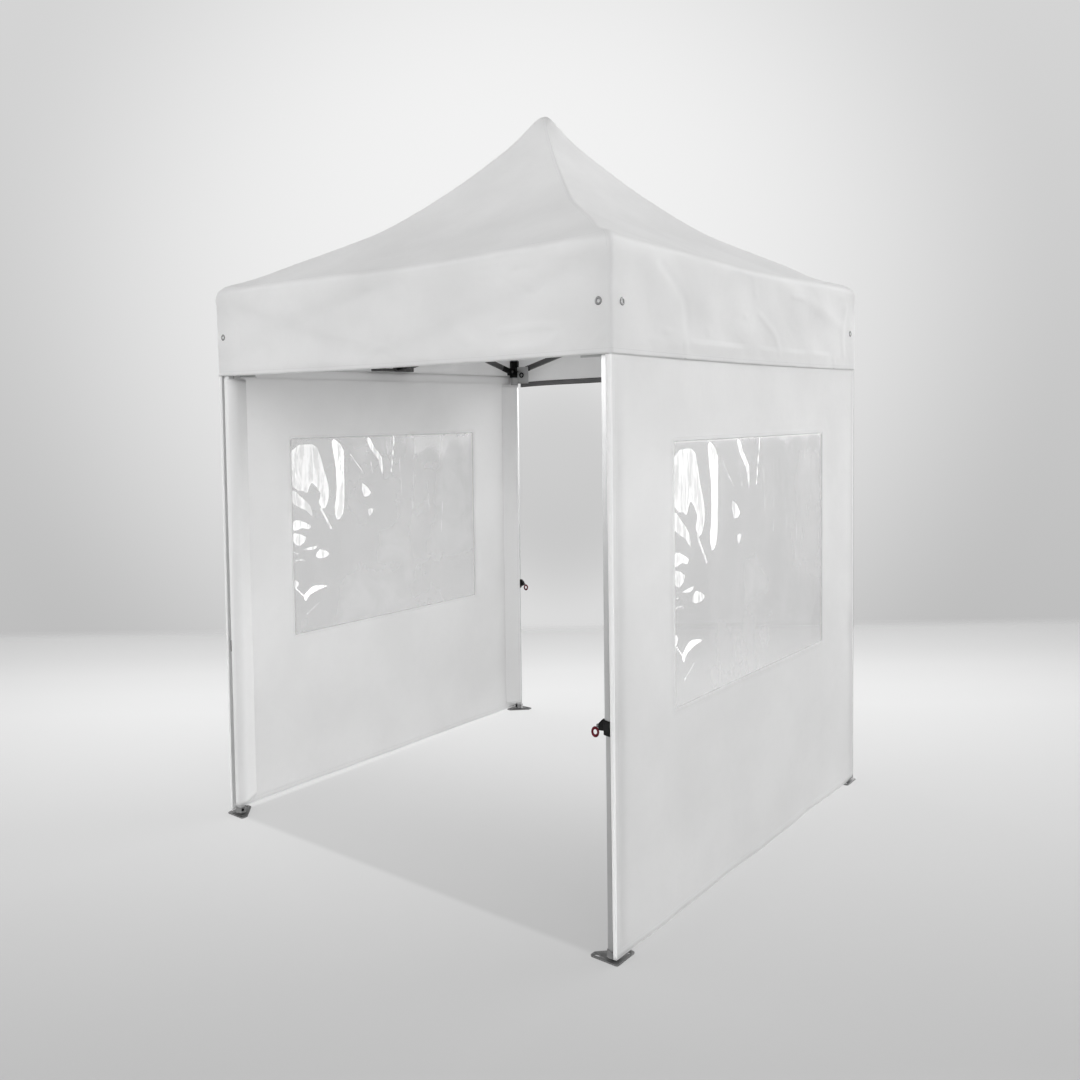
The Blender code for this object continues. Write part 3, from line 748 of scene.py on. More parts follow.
def shapeCanopy(mesh, rows, eaveRow):
    # Sags, waves, folds, hems and rounded corners, worked out side by side
    points = meshPoints(mesh)
    x, y, z = points.T
    reach = np.maximum(np.abs(x), np.abs(y))
    onX = np.abs(x) > np.abs(y) + 0.0000005
    side = np.where(onX, np.where(x > 0, 1, 3), np.where(y < 0, 0, 2))
    share = np.choose(side, [x, y, -x, -y]) / np.maximum(reach, 0.000001)
    share = np.sign(share) * (1 - (1 - np.clip(np.abs(share), 0, 1)) ** 1.15)
    along = share * reach
    hipGap = reach - np.abs(along)
    lengths = np.concatenate([[0], np.cumsum(np.linalg.norm(np.diff(rows, axis=0), axis=1))])
    drop = np.interp(-z, -rows[:, 1], lengths)
    eaveDrop = lengths[eaveRow]
    roofShare = np.clip(drop / eaveDrop, 0, 1)
    roof = smoothStep(z, 2.245, 2.300)
    skirt = 1 - roof
    middle = 1 - share**2
    away = smoothStep(hipGap, 0.002, 0.05)

    lift = -canopy["panelSag"] * middle * np.sin(math.pi * roofShare)
    sag = np.where(drop < eaveDrop, smoothStep(roofShare, 0.45, 1.0), 1.0)
    sag = sag * np.clip(1 - 0.72 * (2.27 - z) / 0.35, 0.28, 1)
    lift -= canopy["eaveSag"] * middle * sag
    lift += roof * middle * 0.0035 * np.sin(5.1 * along + 3.0 * drop + side)
    offBinding = smoothStep(hipGap, canopy["binding"] - 0.003, canopy["binding"] + 0.003)
    lift += canopy["bindingRaise"] * roof * (1 - offBinding)
    lift += canopy["cornerLift"] * np.exp(-(((reach - 0.975) / 0.035) ** 2) - (hipGap / 0.05) ** 2) * roof
    dip = np.exp(-(((reach - 0.87) / 0.05) ** 2) - (hipGap / 0.08) ** 2)
    lift -= np.where(x > 0, 1.0, 0.3) * canopy["cornerDip"] * dip * roof
    droop = np.where(side == 2, 0.010, 0.002) * middle * smoothStep(-z, -2.1, -1.93)
    lift -= droop

    out = -canopy["pullIn"] * middle * skirt
    wave = np.sin(along * 10.3 + side * 1.7) * np.cos((z - 2.0) * 9.0 + along * 2.1 + side)
    wave += 0.6 * np.sin(along * 23.0 + side * 2.9 + (z - 2.0) * 14.0)
    out += canopy["wave"] * wave * skirt * away
    out += 0.004 * middle * smoothStep(-z, -2.10, -1.94)
    for index, name in enumerate(sides):
        picked = np.where((side == index) & (z < 2.285))[0]
        for rise, width, line in foldsOf[name]:
            gap = lineDistance(along[picked], z[picked], smoothLine(line, 5))
            out[picked] += rise * np.exp(-((gap / width) ** 2)) * away[picked]
    seam = np.exp(-(((drop - eaveDrop - 0.012) / 0.0055) ** 2)) * smoothStep(hipGap, 0.0, 0.05)
    lift += 0.0022 * seam
    hemGap = z - canopy["valanceLow"]
    out += canopy["hemRaise"] * (1 - smoothStep(hemGap, canopy["hem"] - 0.002, canopy["hem"] + 0.002))
    walled = (side == 1) | (side == 3)
    nearWall = walled & (z < 1.985)
    out = np.where(nearWall, np.maximum(out, -0.0008), out)
    push = canopy["cornerPush"] * np.exp(-(((z - 2.245) / 0.035) ** 2)) * np.exp(-((hipGap / 0.045) ** 2))

    # Corners are rounded in plan, and the peak is round over its cap
    radius = canopy["cornerRound"] * np.clip(reach / 0.4, 0.05, 1)
    turn = np.clip(1 - hipGap / radius, 0, 1) * math.pi / 4
    rounded = hipGap < radius
    newAlong = np.where(rounded, reach - radius + radius * np.sin(turn), np.abs(along)) * np.sign(along)
    newOut = np.where(rounded, reach - radius + radius * np.cos(turn), reach)
    plan = np.hypot(newAlong, newOut)
    roundShare = 1 - smoothStep(reach, 0.02, 0.10)
    factor = 1 + roundShare * (canopy["peakRound"] * reach / np.maximum(plan, 0.000001) - 1)
    newAlong = newAlong * factor
    newOut = newOut * factor + out + push
    newAlong = newAlong + push * np.sign(along) * smoothStep(-hipGap, -0.06, 0.0)
    localX = np.choose(side, [newAlong, newOut, -newAlong, -newOut])
    localY = np.choose(side, [-newOut, newAlong, newOut, -newAlong])
    setMeshPoints(mesh, np.column_stack([localX, localY, z + lift]))
    addValues(mesh, "hipGap", np.where(z > 2.24, hipGap, 1.0))
    addValues(mesh, "hemGap", hemGap)
    addValues(mesh, "eaveGap", np.abs(drop - eaveDrop - 0.012))

    # The cloth's own map, in metres: along the side, and down from the peak
    uvLayer = mesh.uv_layers.new(name="cloth")
    loopVerts = np.zeros(len(mesh.loops), np.int32)
    mesh.loops.foreach_get("vertex_index", loopVerts)
    totals = np.zeros(len(mesh.polygons), np.int32)
    mesh.polygons.foreach_get("loop_total", totals)
    owner = np.repeat(np.arange(len(totals)), totals)
    centreX = np.bincount(owner, weights=x[loopVerts]) / totals
    centreY = np.bincount(owner, weights=y[loopVerts]) / totals
    faceOnX = np.abs(centreX) > np.abs(centreY)
    faceSide = np.where(faceOnX, np.where(centreX > 0, 1, 3), np.where(centreY < 0, 0, 2))[owner]
    oldAlong = np.choose(faceSide, [x[loopVerts], y[loopVerts], -x[loopVerts], -y[loopVerts]])
    flatAlong = np.sign(oldAlong) * np.abs(along[loopVerts])
    uv = np.column_stack([flatAlong + 3.0 * faceSide, drop[loopVerts]])
    uvLayer.data.foreach_set("uv", uv.astype(np.float32).ravel())


def addThickness(piece, thickness, offset=-1.0):
    solid = piece.modifiers.new("clothThickness", "SOLIDIFY")
    solid.thickness = thickness
    solid.offset = offset
    solid.use_even_offset = True
    return solid


rows, eaveRow = hipRows()
canopyPiece = makePiece(
    "canopy", canopyMesh(rows), canopyCloth, sharp=50, recalculate=False
)
shapeCanopy(canopyPiece.data, rows, eaveRow)
addThickness(canopyPiece, canopy["thickness"])
for side in sides:
    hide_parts("roof_panel_" + side, "valance_" + side)
canopyTree = BVHTree.FromPolygons(
    [vertex.co for vertex in canopyPiece.data.vertices],
    [polygon.vertices for polygon in canopyPiece.data.polygons],
)
print("canopy made with", len(canopyPiece.data.polygons), "faces")


def clothReach(degrees, along, height, fromInside=False):
    # Where the valance's cloth is, on a side turned by so many degrees
    turn = turnZ(degrees)
    start = turn @ Vector((along, -0.9 if fromInside else -1.2, height))
    direction = turn.to_3x3() @ Vector((0, -1 if fromInside else 1, 0))
    hit, normal, _, _ = canopyTree.ray_cast(start, direction)
    return hit, normal


# Eyelets near the valance's corners

eyelets = {
    "height": 2.084,
    "along": {"front": 0.969, "back": 0.969, "right": 0.948, "left": 0.948},
    "radius": 0.0135,
    "hole": 0.0058,
}


def addEyelet(bm, spot):
    # A rolled rim round a dark disc, which paints the shade inside the hole
    rim = eyelets["radius"]
    hole = eyelets["hole"]
    profile = [
        (hole, -0.0026),
        (hole, 0.0004),
        (hole + 0.0012, 0.0013),
        (hole + 0.0032, 0.0015),
        (rim - 0.0012, 0.0012),
        (rim, 0.0003),
        (rim - 0.0006, -0.0006),
        (hole + 0.001, -0.0008),
        (hole + 0.001, -0.0026),
        (hole, -0.0026),
    ]
    addTurned(bm, profile, spot, 28, 0)
    # A black disc in the hole: painted shade
    shadeDisc = [(0, -0.0010), (hole + 0.0002, -0.0010), (hole + 0.0002, -0.0016), (0, -0.0016)]
    addTurned(bm, shadeDisc, spot, 20, 1)


for side, degrees in sides.items():
    bm = bmesh.new()
    for sign in (-1, 1):
        hit, normal = clothReach(degrees, sign * eyelets["along"][side], eyelets["height"])
        addEyelet(bm, pointing(hit + normal * 0.0002, normal))
    ring = brass if side == "front" else zincSteel
    makePiece("eyelets_" + side, bm, [ring, blackNylon])
print("eyelets made")


# Hook tape inside the valance's hem, which the walls hang from

tape = {
    "half": 0.962,
    "tall": 0.028,
    "low": 0.002,
    "thick": 0.0011,
    "step": 0.012,
    "inset": 0.0015,
    "lowest": 1.9235,
    "probes": (0.0, 0.005, 0.010, 0.016),
    "hemBow": 0.004,  # how much lower the hem hangs in its middle
    # On the back it has come loose along its lower edge and droops to the corners
    "backLow": 1.8965,
    "backDroop": 0.022,
    "backWave": 0.0016,
}

for side, degrees in sides.items():
    bm = bmesh.new()
    columnCount = round(2 * tape["half"] / tape["step"])
    bmesh.ops.create_grid(bm, x_segments=columnCount, y_segments=4, size=0.5)
    shares = []
    for vert in bm.verts:
        along = vert.co.x * 2 * tape["half"]
        share = vert.co.y + 0.5
        shares.append(share)
        bottom = canopy["valanceLow"] + tape["low"] - tape["hemBow"] * (1 - (along / valanceFace) ** 2)
        if side == "back":
            bottom = tape["backLow"] + tape["backDroop"] * (1 - abs(along) / tape["half"])
            bottom += tape["backWave"] * math.sin(along * 9 + 1)
        height = bottom + tape["tall"] * share
        inward = turnZ(degrees).to_3x3() @ Vector((0, 1, 0))
        start = max(height, tape["lowest"])
        near = [clothReach(degrees, along, start + rise, True)[0] for rise in tape["probes"]]
        hit = max(near, key=lambda spot: spot.dot(inward))
        vert.co = hit + inward * (tape["inset"] + 0.001 * (1 - share) * math.sin(along * 14))
        vert.co.z = height
    cloth = hookTape if side == "back" else paleTape
    piece = makePiece("hook_tape_" + side, bm, cloth)
    addValues(piece.data, "tapeShare", shares)
    addThickness(piece, tape["thick"], 0.0)
print("hook tapes made")


# Side walls, each cut round its window, with turned hems and soft folds

walls = {
    "segments": 128,
    "hem": 0.026,
    "hemRaise": 0.0006,
    "frame": 0.016,
    "frameRaise": 0.0007,
    "fold": 0.0028,
    "thickness": 0.0012,
    "return": 0.0125,  # how far the front edge turns in before the leg, at the floor
    "returnMore": 0.004,  # and what a metre of height adds
}
wallSides = {"right": 1, "left": -1}


def cutAlong(bm, position, normal):
    bmesh.ops.bisect_plane(
        bm, geom=bm.verts[:] + bm.edges[:] + bm.faces[:], dist=0.00001, plane_co=position, plane_no=normal
    )


def makeWall(side, sign):
    # The cloth, with its front edge turned in before the leg
    low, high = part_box("side_wall_" + side)
    holeLow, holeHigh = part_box("window_" + side)
    face = high.x if sign > 0 else low.x
    bm = bmesh.new()
    count = walls["segments"]
    bmesh.ops.create_grid(bm, x_segments=count, y_segments=count, size=0.5)
    for vert in bm.verts:
        vert.co = (
            face,
            sign * vert.co.x * (high.y - low.y) + (high.y + low.y) / 2,
            vert.co.y * (high.z - low.z) + (high.z + low.z) / 2,
        )
    for depth in (walls["hem"] - 0.002, walls["hem"]):
        for position, normal in (
            ((face, low.y + depth, 0), (0, 1, 0)),
            ((face, high.y - depth, 0), (0, 1, 0)),
            ((face, 0, low.z + depth), (0, 0, 1)),
            ((face, 0, high.z - depth), (0, 0, 1)),
        ):
            cutAlong(bm, position, normal)
    for depth in (0.0, walls["frame"], walls["frame"] + 0.002):
        for position, normal in (
            ((face, holeLow.y - depth, 0), (0, 1, 0)),
            ((face, holeHigh.y + depth, 0), (0, 1, 0)),
            ((face, 0, holeLow.z - depth), (0, 0, 1)),
            ((face, 0, holeHigh.z + depth), (0, 0, 1)),
        ):
            cutAlong(bm, position, normal)
    inside = [
        item
        for item in bm.faces
        if holeLow.y < item.calc_center_median().y < holeHigh.y
        and holeLow.z < item.calc_center_median().z < holeHigh.z
    ]
    bmesh.ops.delete(bm, geom=inside, context="FACES")
    edge = [item for item in bm.edges if all(abs(vert.co.y - low.y) < 0.00001 for vert in item.verts)]
    for share, forward in ((0.25, 0.0006), (0.75, 0.0002)):
        made = bmesh.ops.extrude_edge_only(bm, edges=edge)["geom"]
        for vert in (item for item in made if isinstance(item, bmesh.types.BMVert)):
            wide = walls["return"] + walls["returnMore"] * vert.co.z
            vert.co.x -= sign * wide * share
            vert.co.y -= forward
        edge = [item for item in made if isinstance(item, bmesh.types.BMEdge)]
    bmesh.ops.recalc_face_normals(bm, faces=bm.faces)
    if sum(item.normal.x for item in bm.faces) * sign < 0:
        bmesh.ops.reverse_faces(bm, faces=bm.faces)
    piece = makePiece("cloth_wall_" + side, bm, wallCloth, recalculate=False)
    mesh = piece.data
    points = meshPoints(mesh)
    _, y, z = points.T
    sideGap = np.minimum(y - low.y, high.y - y)
    endGap = np.minimum(z - low.z, high.z - z)
    hemGap = np.minimum(sideGap, endGap)
    overY = np.maximum(np.maximum(holeLow.y - y, y - holeHigh.y), 0)
    overZ = np.maximum(np.maximum(holeLow.z - z, z - holeHigh.z), 0)
    windowGap = np.hypot(overY, overZ)
    loose = smoothStep(sideGap, 0.03, 0.22) * smoothStep(windowGap, 0.0, 0.12)
    loose = loose * smoothStep(high.z - z, 0.04, 0.30)
    fold = np.sin(y * 7.4 + 0.8 * sign + 0.7 * np.sin(z * 2.3)) * (0.6 + 0.4 * np.cos(z * 3.1 + sign))
    fold += 0.5 * np.sin(y * 17.0 + z * 3.0 + 2.0 * sign) * smoothStep(-z, -0.9, -0.1)
    fold += 0.4 * np.sin((y * sign + z) * 9.0)
    out = walls["fold"] * fold * loose
    onHem = 1 - smoothStep(hemGap, walls["hem"] - 0.002, walls["hem"])
    out += walls["hemRaise"] * onHem * smoothStep(-z, -1.93, -1.90)
    out += walls["frameRaise"] * (1 - smoothStep(windowGap, walls["frame"], walls["frame"] + 0.002))
    points[:, 0] += sign * out
    setMeshPoints(mesh, points)
    addValues(mesh, "hemGap", hemGap)
    addValues(mesh, "windowGap", windowGap)
    alongY = np.where(overY > overZ, z, y)
    addValues(mesh, "runLine", np.where(hemGap < 0.1, np.where(sideGap < endGap, z, y), alongY))
    addThickness(piece, walls["thickness"])
    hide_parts("side_wall_" + side)
    return piece


wallPieces = {side: makeWall(side, sign) for side, sign in wallSides.items()}

# Flaps of the left wall, closed round the inside of its two legs
flap = {
    # Across from the leg's line, and along from it towards the wall's middle
    "front": [
        (-0.0287, 0.105),
        (-0.0190, 0.090),
        (-0.0040, 0.066),
        (0.0120, 0.040),
        (0.0235, 0.020),
        (0.0275, 0.004),
        (0.0262, -0.011),
        (0.0205, -0.0222),
        (0.0130, -0.0275),
        (0.0060, -0.0300),
    ],
    "back": [(-0.0287, 0.084), (-0.0180, 0.071), (0.0000, 0.048), (0.0160, 0.029), (0.0272, 0.011)],
    "low": 0.045,
    "high": 1.908,
    "thickness": 0.0011,
    "wallGap": 0.0022,
}
wallMesh = wallPieces["left"].data
wallTree = BVHTree.FromPolygons(
    [vertex.co for vertex in wallMesh.vertices], [polygon.vertices for polygon in wallMesh.polygons]
)


def makeFlap(end, sign):
    line = np.array(smoothLine([(*spot, 0) for spot in flap[end]], 5))
    wide = float(np.linalg.norm(np.diff(line, axis=0), axis=1).sum())
    bm = bmesh.new()
    bmesh.ops.create_grid(bm, x_segments=len(line) - 1, y_segments=110, size=0.5)
    for vert in bm.verts:
        column = round((vert.co.x + 0.5) * (len(line) - 1))
        height = flap["low"] + (vert.co.y + 0.5) * (flap["high"] - flap["low"])
        across, along, _ = line[column]
        loose = math.sin(math.pi * column / (len(line) - 1))
        across += 0.0010 * loose * math.sin(height * 13 + 2 * math.sin(height * 5))
        spot = Vector((0, sign * (legAxis - along), height))
        hit = wallTree.ray_cast(spot, Vector((-1, 0, 0)))[0]
        if hit:
            across = max(across, hit.x + legAxis + flap["wallGap"])
        vert.co = (across - legAxis, spot.y, height)
    endY = sign * (legAxis - flap[end][-1][1])
    spots = [vert.co for vert in bm.verts]
    gaps = [min(spot.z - flap["low"], flap["high"] - spot.z, abs(spot.y - endY)) for spot in spots]
    cloth = flapCloth if end == "front" else paintedLightBackFlapCloth
    piece = makePiece("leg_flap_" + end, bm, cloth)
    addValues(piece.data, "hemGap", np.maximum(gaps, 0.006))
    addValues(piece.data, "runLine", [vertex.co.z for vertex in piece.data.vertices])
    addThickness(piece, flap["thickness"], 0.0)
    return piece, wide


flapPieces = [makeFlap("front", -1), makeFlap("back", 1)]
print("walls made")


# Windows: clear film with ripples, and the studio's reflections painted on it as highlights

film = {
    "columns": 158,
    "rows": 114,
    "overlap": 0.0015,
    "thickness": 0.0005,
    "ripple": 0.0035,
    "grey": 0.50,
    "haze": 0.66,
    "bright": 0.97,
    "glow": 0.30,
    "clear": 0.40,  # opacity of each of its two faces
    "milky": 0.92,
}

# The left window's edges as they are seen, which the highlights are placed by
seenWindow = {"wall": -1.0, "front": -0.642, "wide": 1.242, "sill": 0.745, "tall": 0.90}
# Painted highlights, as seen in it: brightness, and the spots round each outline
seenGlare = {
    "topLobe": (
        0.74,
        [
            *[(75, 200), (180, 165), (250, 190), (300, 340), (325, 440), (325, 540), (300, 605)],
            *[(270, 600), (258, 560), (270, 500), (215, 430), (190, 500), (150, 490), (80, 450)],
        ],
    ),
    "lobeCore": (1.00, [(80, 220), (180, 180), (140, 260), (90, 320)]),
    "limb": (0.70, [(80, 480), (150, 520), (205, 590), (225, 665), (180, 610), (85, 570)]),
    "longStreak": (
        1.00,
        [
            *[(350, 145), (378, 330), (390, 520), (367, 600), (390, 690)],
            *[(435, 640), (445, 520), (430, 320), (428, 200), (390, 140)],
        ],
    ),
    "bentStreak": (
        0.90,
        [(595, 115), (620, 190), (676, 270), (703, 375), (694, 257), (640, 180), (622, 113)],
    ),
    "star": (0.75, [(555, 430), (625, 500), (575, 525)]),
    "smallStar": (0.65, [(600, 605), (640, 605), (620, 665)]),
    "upperLeaf": (0.80, [(90, 690), (130, 690), (205, 725), (190, 748), (150, 740), (90, 760)]),
    "middleLeaf": (0.75, [(90, 780), (185, 800), (130, 865), (90, 845)]),
    "lowerLeaf": (0.75, [(150, 885), (250, 860), (225, 888)]),
    "lowestLeaf": (0.80, [(235, 940), (270, 885), (335, 915), (300, 940)]),
    "crescent": (
        1.00,
        [(168, 1243), (165, 1200), (210, 1150), (270, 1130), (337, 1133), (280, 1165), (210, 1195)],
    ),
    "edgePatch": (0.70, [(95, 1100), (135, 1112), (108, 1145), (98, 1147)]),
}
# Thin painted highlights, as seen in it: brightness, half width in metres, and the spots along each line
seenGleams = {
    "tallLine": (0.95, 0.0035, [(768, 93), (776, 120), (770, 250), (762, 342)]),
    "slantLine": (0.70, 0.0030, [(475, 230), (570, 355)]),
    "shortLine": (0.65, 0.0030, [(620, 280), (635, 360)]),
    "leafLine": (0.75, 0.0040, [(90, 715), (130, 688)]),
    "upperDash": (0.70, 0.0035, [(92, 915), (128, 914)]),
    "lowerDash": (0.70, 0.0035, [(92, 980), (120, 962), (162, 968)]),
    "wideSlant": (0.65, 0.0060, [(275, 610), (350, 745)]),
    "crescentTail": (0.85, 0.0040, [(105, 1155), (165, 1212)]),
    "scratch": (0.60, 0.0030, [(175, 1343), (268, 1255)]),
    "cornerLine": (0.70, 0.0030, [(1285, 105), (1302, 62)]),
    "edgeLine": (0.60, 0.0025, [(1280, 80), (1278, 200)]),
}
# Guessed ones, as shares from the front edge and from the sill
guessedGleams = [
    (0.35, 0.0030, [(0.55, 0.86), (0.56, 0.66)]),
    (0.30, 0.0030, [(0.63, 0.80), (0.62, 0.58)]),
    (0.30, 0.0030, [(0.71, 0.72), (0.72, 0.52)]),
    (0.28, 0.0030, [(0.80, 0.60), (0.79, 0.42)]),
]
# Painted reflections and painted shade: soft patches brighter or darker than the film, with amount, softness
# in metres and outline
seenPaintedPatches = {"softBox": (0.35, 0.050, [(690, 950), (690, 760), (760, 745), (870, 850), (870, 930)])}
guessedPaintedPatches = [
    (0.30, 0.090, [(0.75, 0.35), (0.80, 0.95), (1.0, 0.95), (1.0, 0.30)]),
    (-0.22, 0.060, [(0.0, 0.10), (0.0, 0.60), (0.20, 0.50), (0.22, 0.15)]),
    (-0.20, 0.060, [(0.86, 0.0), (0.95, 0.20), (1.0, 0.28), (1.0, 0.0)]),
    (0.22, 0.080, [(0.20, 0.0), (0.25, 0.25), (0.60, 0.22), (0.60, 0.0)]),
]


def windowShares(spots):
    # Spots in the enlarged window as shares of its width and height, to the hundredth
    shares = []
    for spot in spots:
        place = placeSeen(spot, "leftWindow", 0, seenWindow["wall"])
        across = (place.y - seenWindow["front"]) / seenWindow["wide"]
        up = (place.z - seenWindow["sill"]) / seenWindow["tall"]
        shares.append(tuple(round(min(max(share, 0.0), 1.0), 2) for share in (across, up)))
    return shares


glareShapes = [(tone, windowShares(spots)) for tone, spots in seenGlare.values()]
glareLines = [(tone, half, windowShares(spots)) for tone, half, spots in seenGleams.values()] + guessedGleams
paintedPatchShapes = [(amount, softness, windowShares(spots)) for amount, softness, spots in seenPaintedPatches.values()]
paintedPatchShapes += guessedPaintedPatches


def filmMaterial():
    # Painted highlights: where the glare lies, the film's colour turns near white, near opaque and glowing
    material = newMaterial("clearFilm", roughness=0.10, specularIorLevel=0.5)
    edge = addNode(material, "Attribute", attribute_name="glareEdge").outputs["Fac"]
    tone = addNode(material, "Attribute", attribute_name="glareTone").outputs["Fac"]
    haze = addNode(material, "Attribute", attribute_name="haze").outputs["Fac"]
    streaks = noiseAt(material, objectPoint(material, (1, 34, 7)), 1.0, 3.0, 0.55, 0.6)
    inner = ranged(material, edge, 0.002, 0.018, 1.0, 0.88)
    varied = maths(material, "MULTIPLY", inner, ranged(material, streaks, 0.36, 0.60, 0.62, 1.1))
    tone = maths(material, "MULTIPLY", tone, maths(material, "MINIMUM", varied, 1.0))
    gleam = maths(material, "MULTIPLY", ranged(material, edge, -0.0016, 0.0018, 0.0, 1.0), tone)
    point = objectPoint(material)
    cloud = noiseAt(material, point, 5.0, 3.0, 0.5, 0.8)
    # Painted reflections and shade from the patches, with a little random cloudiness
    softened = maths(material, "ADD", haze, ranged(material, cloud, 0.3, 0.7, -0.10, 0.12))
    softened = ranged(material, softened, -0.45, 0.75, 0.0, 1.0)
    base = mixedColor(material, softened, grey(film["grey"]), grey(film["haze"]))
    base = mixedColor(material, gleam, base, grey(film["bright"]))
    setSocket(material, "Base Color", base)
    paintedPatchAlpha = ranged(material, softened, 0.0, 1.0, film["clear"] - 0.04, film["clear"] + 0.05, False)
    alpha = maths(material, "MAXIMUM", paintedPatchAlpha, maths(material, "MULTIPLY", gleam, film["milky"]))
    setSocket(material, "Alpha", alpha)
    setSocket(material, "Emission Color", mixedColor(material, gleam, grey(0.0), grey(film["glow"])))
    material.node_tree.nodes["Principled BSDF"].inputs["Emission Strength"].default_value = 1.0
    fine = noiseAt(material, objectPoint(material, (1, 16, 4)), 3.0, 3.0, 0.5, 0.5)
    setSocket(material, "Normal", bumped(material, fine, 0.35, 0.002))
    return material


clearFilm = filmMaterial()


def makeFilm(side, sign):
    low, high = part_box("window_" + side)
    wallLow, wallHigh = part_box("side_wall_" + side)
    wallFace = wallHigh.x if sign > 0 else wallLow.x
    face = wallFace - sign * (walls["thickness"] + 0.0003)
    wide = high.y - low.y
    tall = high.z - low.z
    bm = bmesh.new()
    bmesh.ops.create_grid(bm, x_segments=film["columns"], y_segments=film["rows"], size=0.5)
    for vert in bm.verts:
        vert.co = (
            face,
            (low.y + high.y) / 2 + sign * vert.co.x * (wide + 2 * film["overlap"]),
            (low.z + high.z) / 2 + vert.co.y * (tall + 2 * film["overlap"]),
        )
    bmesh.ops.recalc_face_normals(bm, faces=bm.faces)
    if sum(item.normal.x for item in bm.faces) * sign < 0:
        bmesh.ops.reverse_faces(bm, faces=bm.faces)
    piece = makePiece("clear_window_" + side, bm, clearFilm, recalculate=False)
    mesh = piece.data
    points = meshPoints(mesh)
    across = points[:, 1] - low.y
    up = points[:, 2] - low.z
    edges = []
    tones = []
    for tone, outline in glareShapes:
        line = [(a * wide, b * tall) for a, b in outline]
        line = [tuple(point) for point in smoothLine(line, 2, True)]
        edges.append(insideDistance(across, up, line))
        tones.append(tone)
    for tone, half, line in glareLines:
        scaled = smoothLine([(a * wide, b * tall) for a, b in line], 4)
        edges.append(half - lineDistance(across, up, scaled))
        tones.append(tone)
    edges = np.array(edges)
    nearest = np.argmax(edges, axis=0)
    addValues(mesh, "glareEdge", np.clip(edges.max(axis=0), -0.02, 0.02))
    addValues(mesh, "glareTone", np.array(tones)[nearest])
    haze = np.zeros(len(points))
    for amount, softness, outline in paintedPatchShapes:
        line = [(a * wide, b * tall) for a, b in outline]
        haze += amount * smoothStep(insideDistance(across, up, line), -softness, softness)
    addValues(mesh, "haze", haze)
    rim = np.minimum(np.minimum(across, wide - across), np.minimum(up, tall - up))
    ripple = np.sin(across * 31.0 + 1.2 * np.sin(up * 6.0)) * (0.4 + 0.6 * up / tall)
    ripple += 0.5 * np.sin(across * 12.0 + up * 9.0 + sign)
    points[:, 0] += sign * film["ripple"] * 0.5 * ripple * smoothStep(rim, 0.0, 0.16)
    points[:, 0] -= sign * 0.0012 * smoothStep(rim, 0.0, 0.10)
    setMeshPoints(mesh, points)
    addThickness(piece, film["thickness"])
    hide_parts("window_" + side)
    return piece


filmPieces = {side: makeFilm(side, sign) for side, sign in wallSides.items()}
print("windows made")


# Legs: two hexagonal tubes, one in the other, with fine grooves along each flat

legs = {
    "wall": 0.0020,
    "grooves": (0.20, 0.5, 0.80),
    "grooveHalf": 0.0009,
    "grooveDeep": 0.00055,
    "edgeRound": 0.0011,
}


def hexagonLoop(bm, flats, height, deep):
    # A hexagon with a flat towards the tent's corner, and each flat grooved along its line
    sideLong = flats / math.sqrt(3)
    half = legs["grooveHalf"] / sideLong
    stops = []
    for centre in legs["grooves"]:
        bed = half * 0.45
        stops += [(centre - half, 0), (centre - bed, deep), (centre + bed, deep), (centre + half, 0)]
    stops = [(0, 0)] + stops
    loop = bmesh.ops.create_circle(bm, segments=6 * len(stops), radius=sideLong)["verts"]
    for index, vert in enumerate(loop):
        angle = math.radians(45 + 60 * (index // len(stops)))
        outward = Vector((math.cos(angle), math.sin(angle), 0))
        along = Vector((-outward.y, outward.x, 0))
        share, depth = stops[index % len(stops)]
        vert.co = outward * (flats / 2 - depth) + along * (share - 0.5) * sideLong
    bmesh.ops.translate(bm, verts=loop, vec=(0, 0, height))
    return list({edge for vert in loop for edge in vert.link_edges})


def hexTube(flats, low, high):
    bm = bmesh.new()
    outer = hexagonLoop(bm, flats, low, legs["grooveDeep"])
    inner = hexagonLoop(bm, flats - 2 * legs["wall"], low, 0)
    bmesh.ops.bridge_loops(bm, edges=outer + inner)
    raised = bmesh.ops.extrude_face_region(bm, geom=bm.faces[:])
    moved = [item for item in raised["geom"] if isinstance(item, bmesh.types.BMVert)]
    bmesh.ops.translate(bm, verts=moved, vec=(0, 0, high - low))
    corner = flats / math.sqrt(3)
    long = [
        edge
        for edge in bm.edges
        if abs(edge.verts[0].co.z - edge.verts[1].co.z) > 0.1
        and abs(edge.verts[0].co.xy.length - corner) < 0.00002
    ]
    bevelEdges(bm, long, legs["edgeRound"], 3)
    return bm


def flatsOf(node):
    # Across the flats of a hexagonal node that is turned by 15 degrees
    low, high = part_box(node)
    return (high.x - low.x) * math.sqrt(3) / 2 / math.cos(math.radians(15))


for corner in corners:
    for part, body in (("outer_leg_", "frame"), ("inner_leg_", corner + "_leg")):
        low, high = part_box(part + corner)
        bm = hexTube(flatsOf(part + corner), low.z, high.z)
        bmesh.ops.transform(bm, matrix=atCorner(corner), verts=bm.verts)
        piece = makePiece("grooved_" + part + corner, bm, aluminium, body, 25)
        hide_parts(part + corner)
print("legs made")


# Feet, locks and rings

lockAngle = math.radians(105)
ringLooks = {
    "pinHeight": 0.746,
    "headFrom": 0.0422,
    "headLong": 0.007,
    "pinFrom": 0.0215,
    "ringReach": 0.0545,
    "ringDrop": 0.021,
    "wide": 0.027,
    "tall": 0.036,
    "stroke": 0.0074,
}


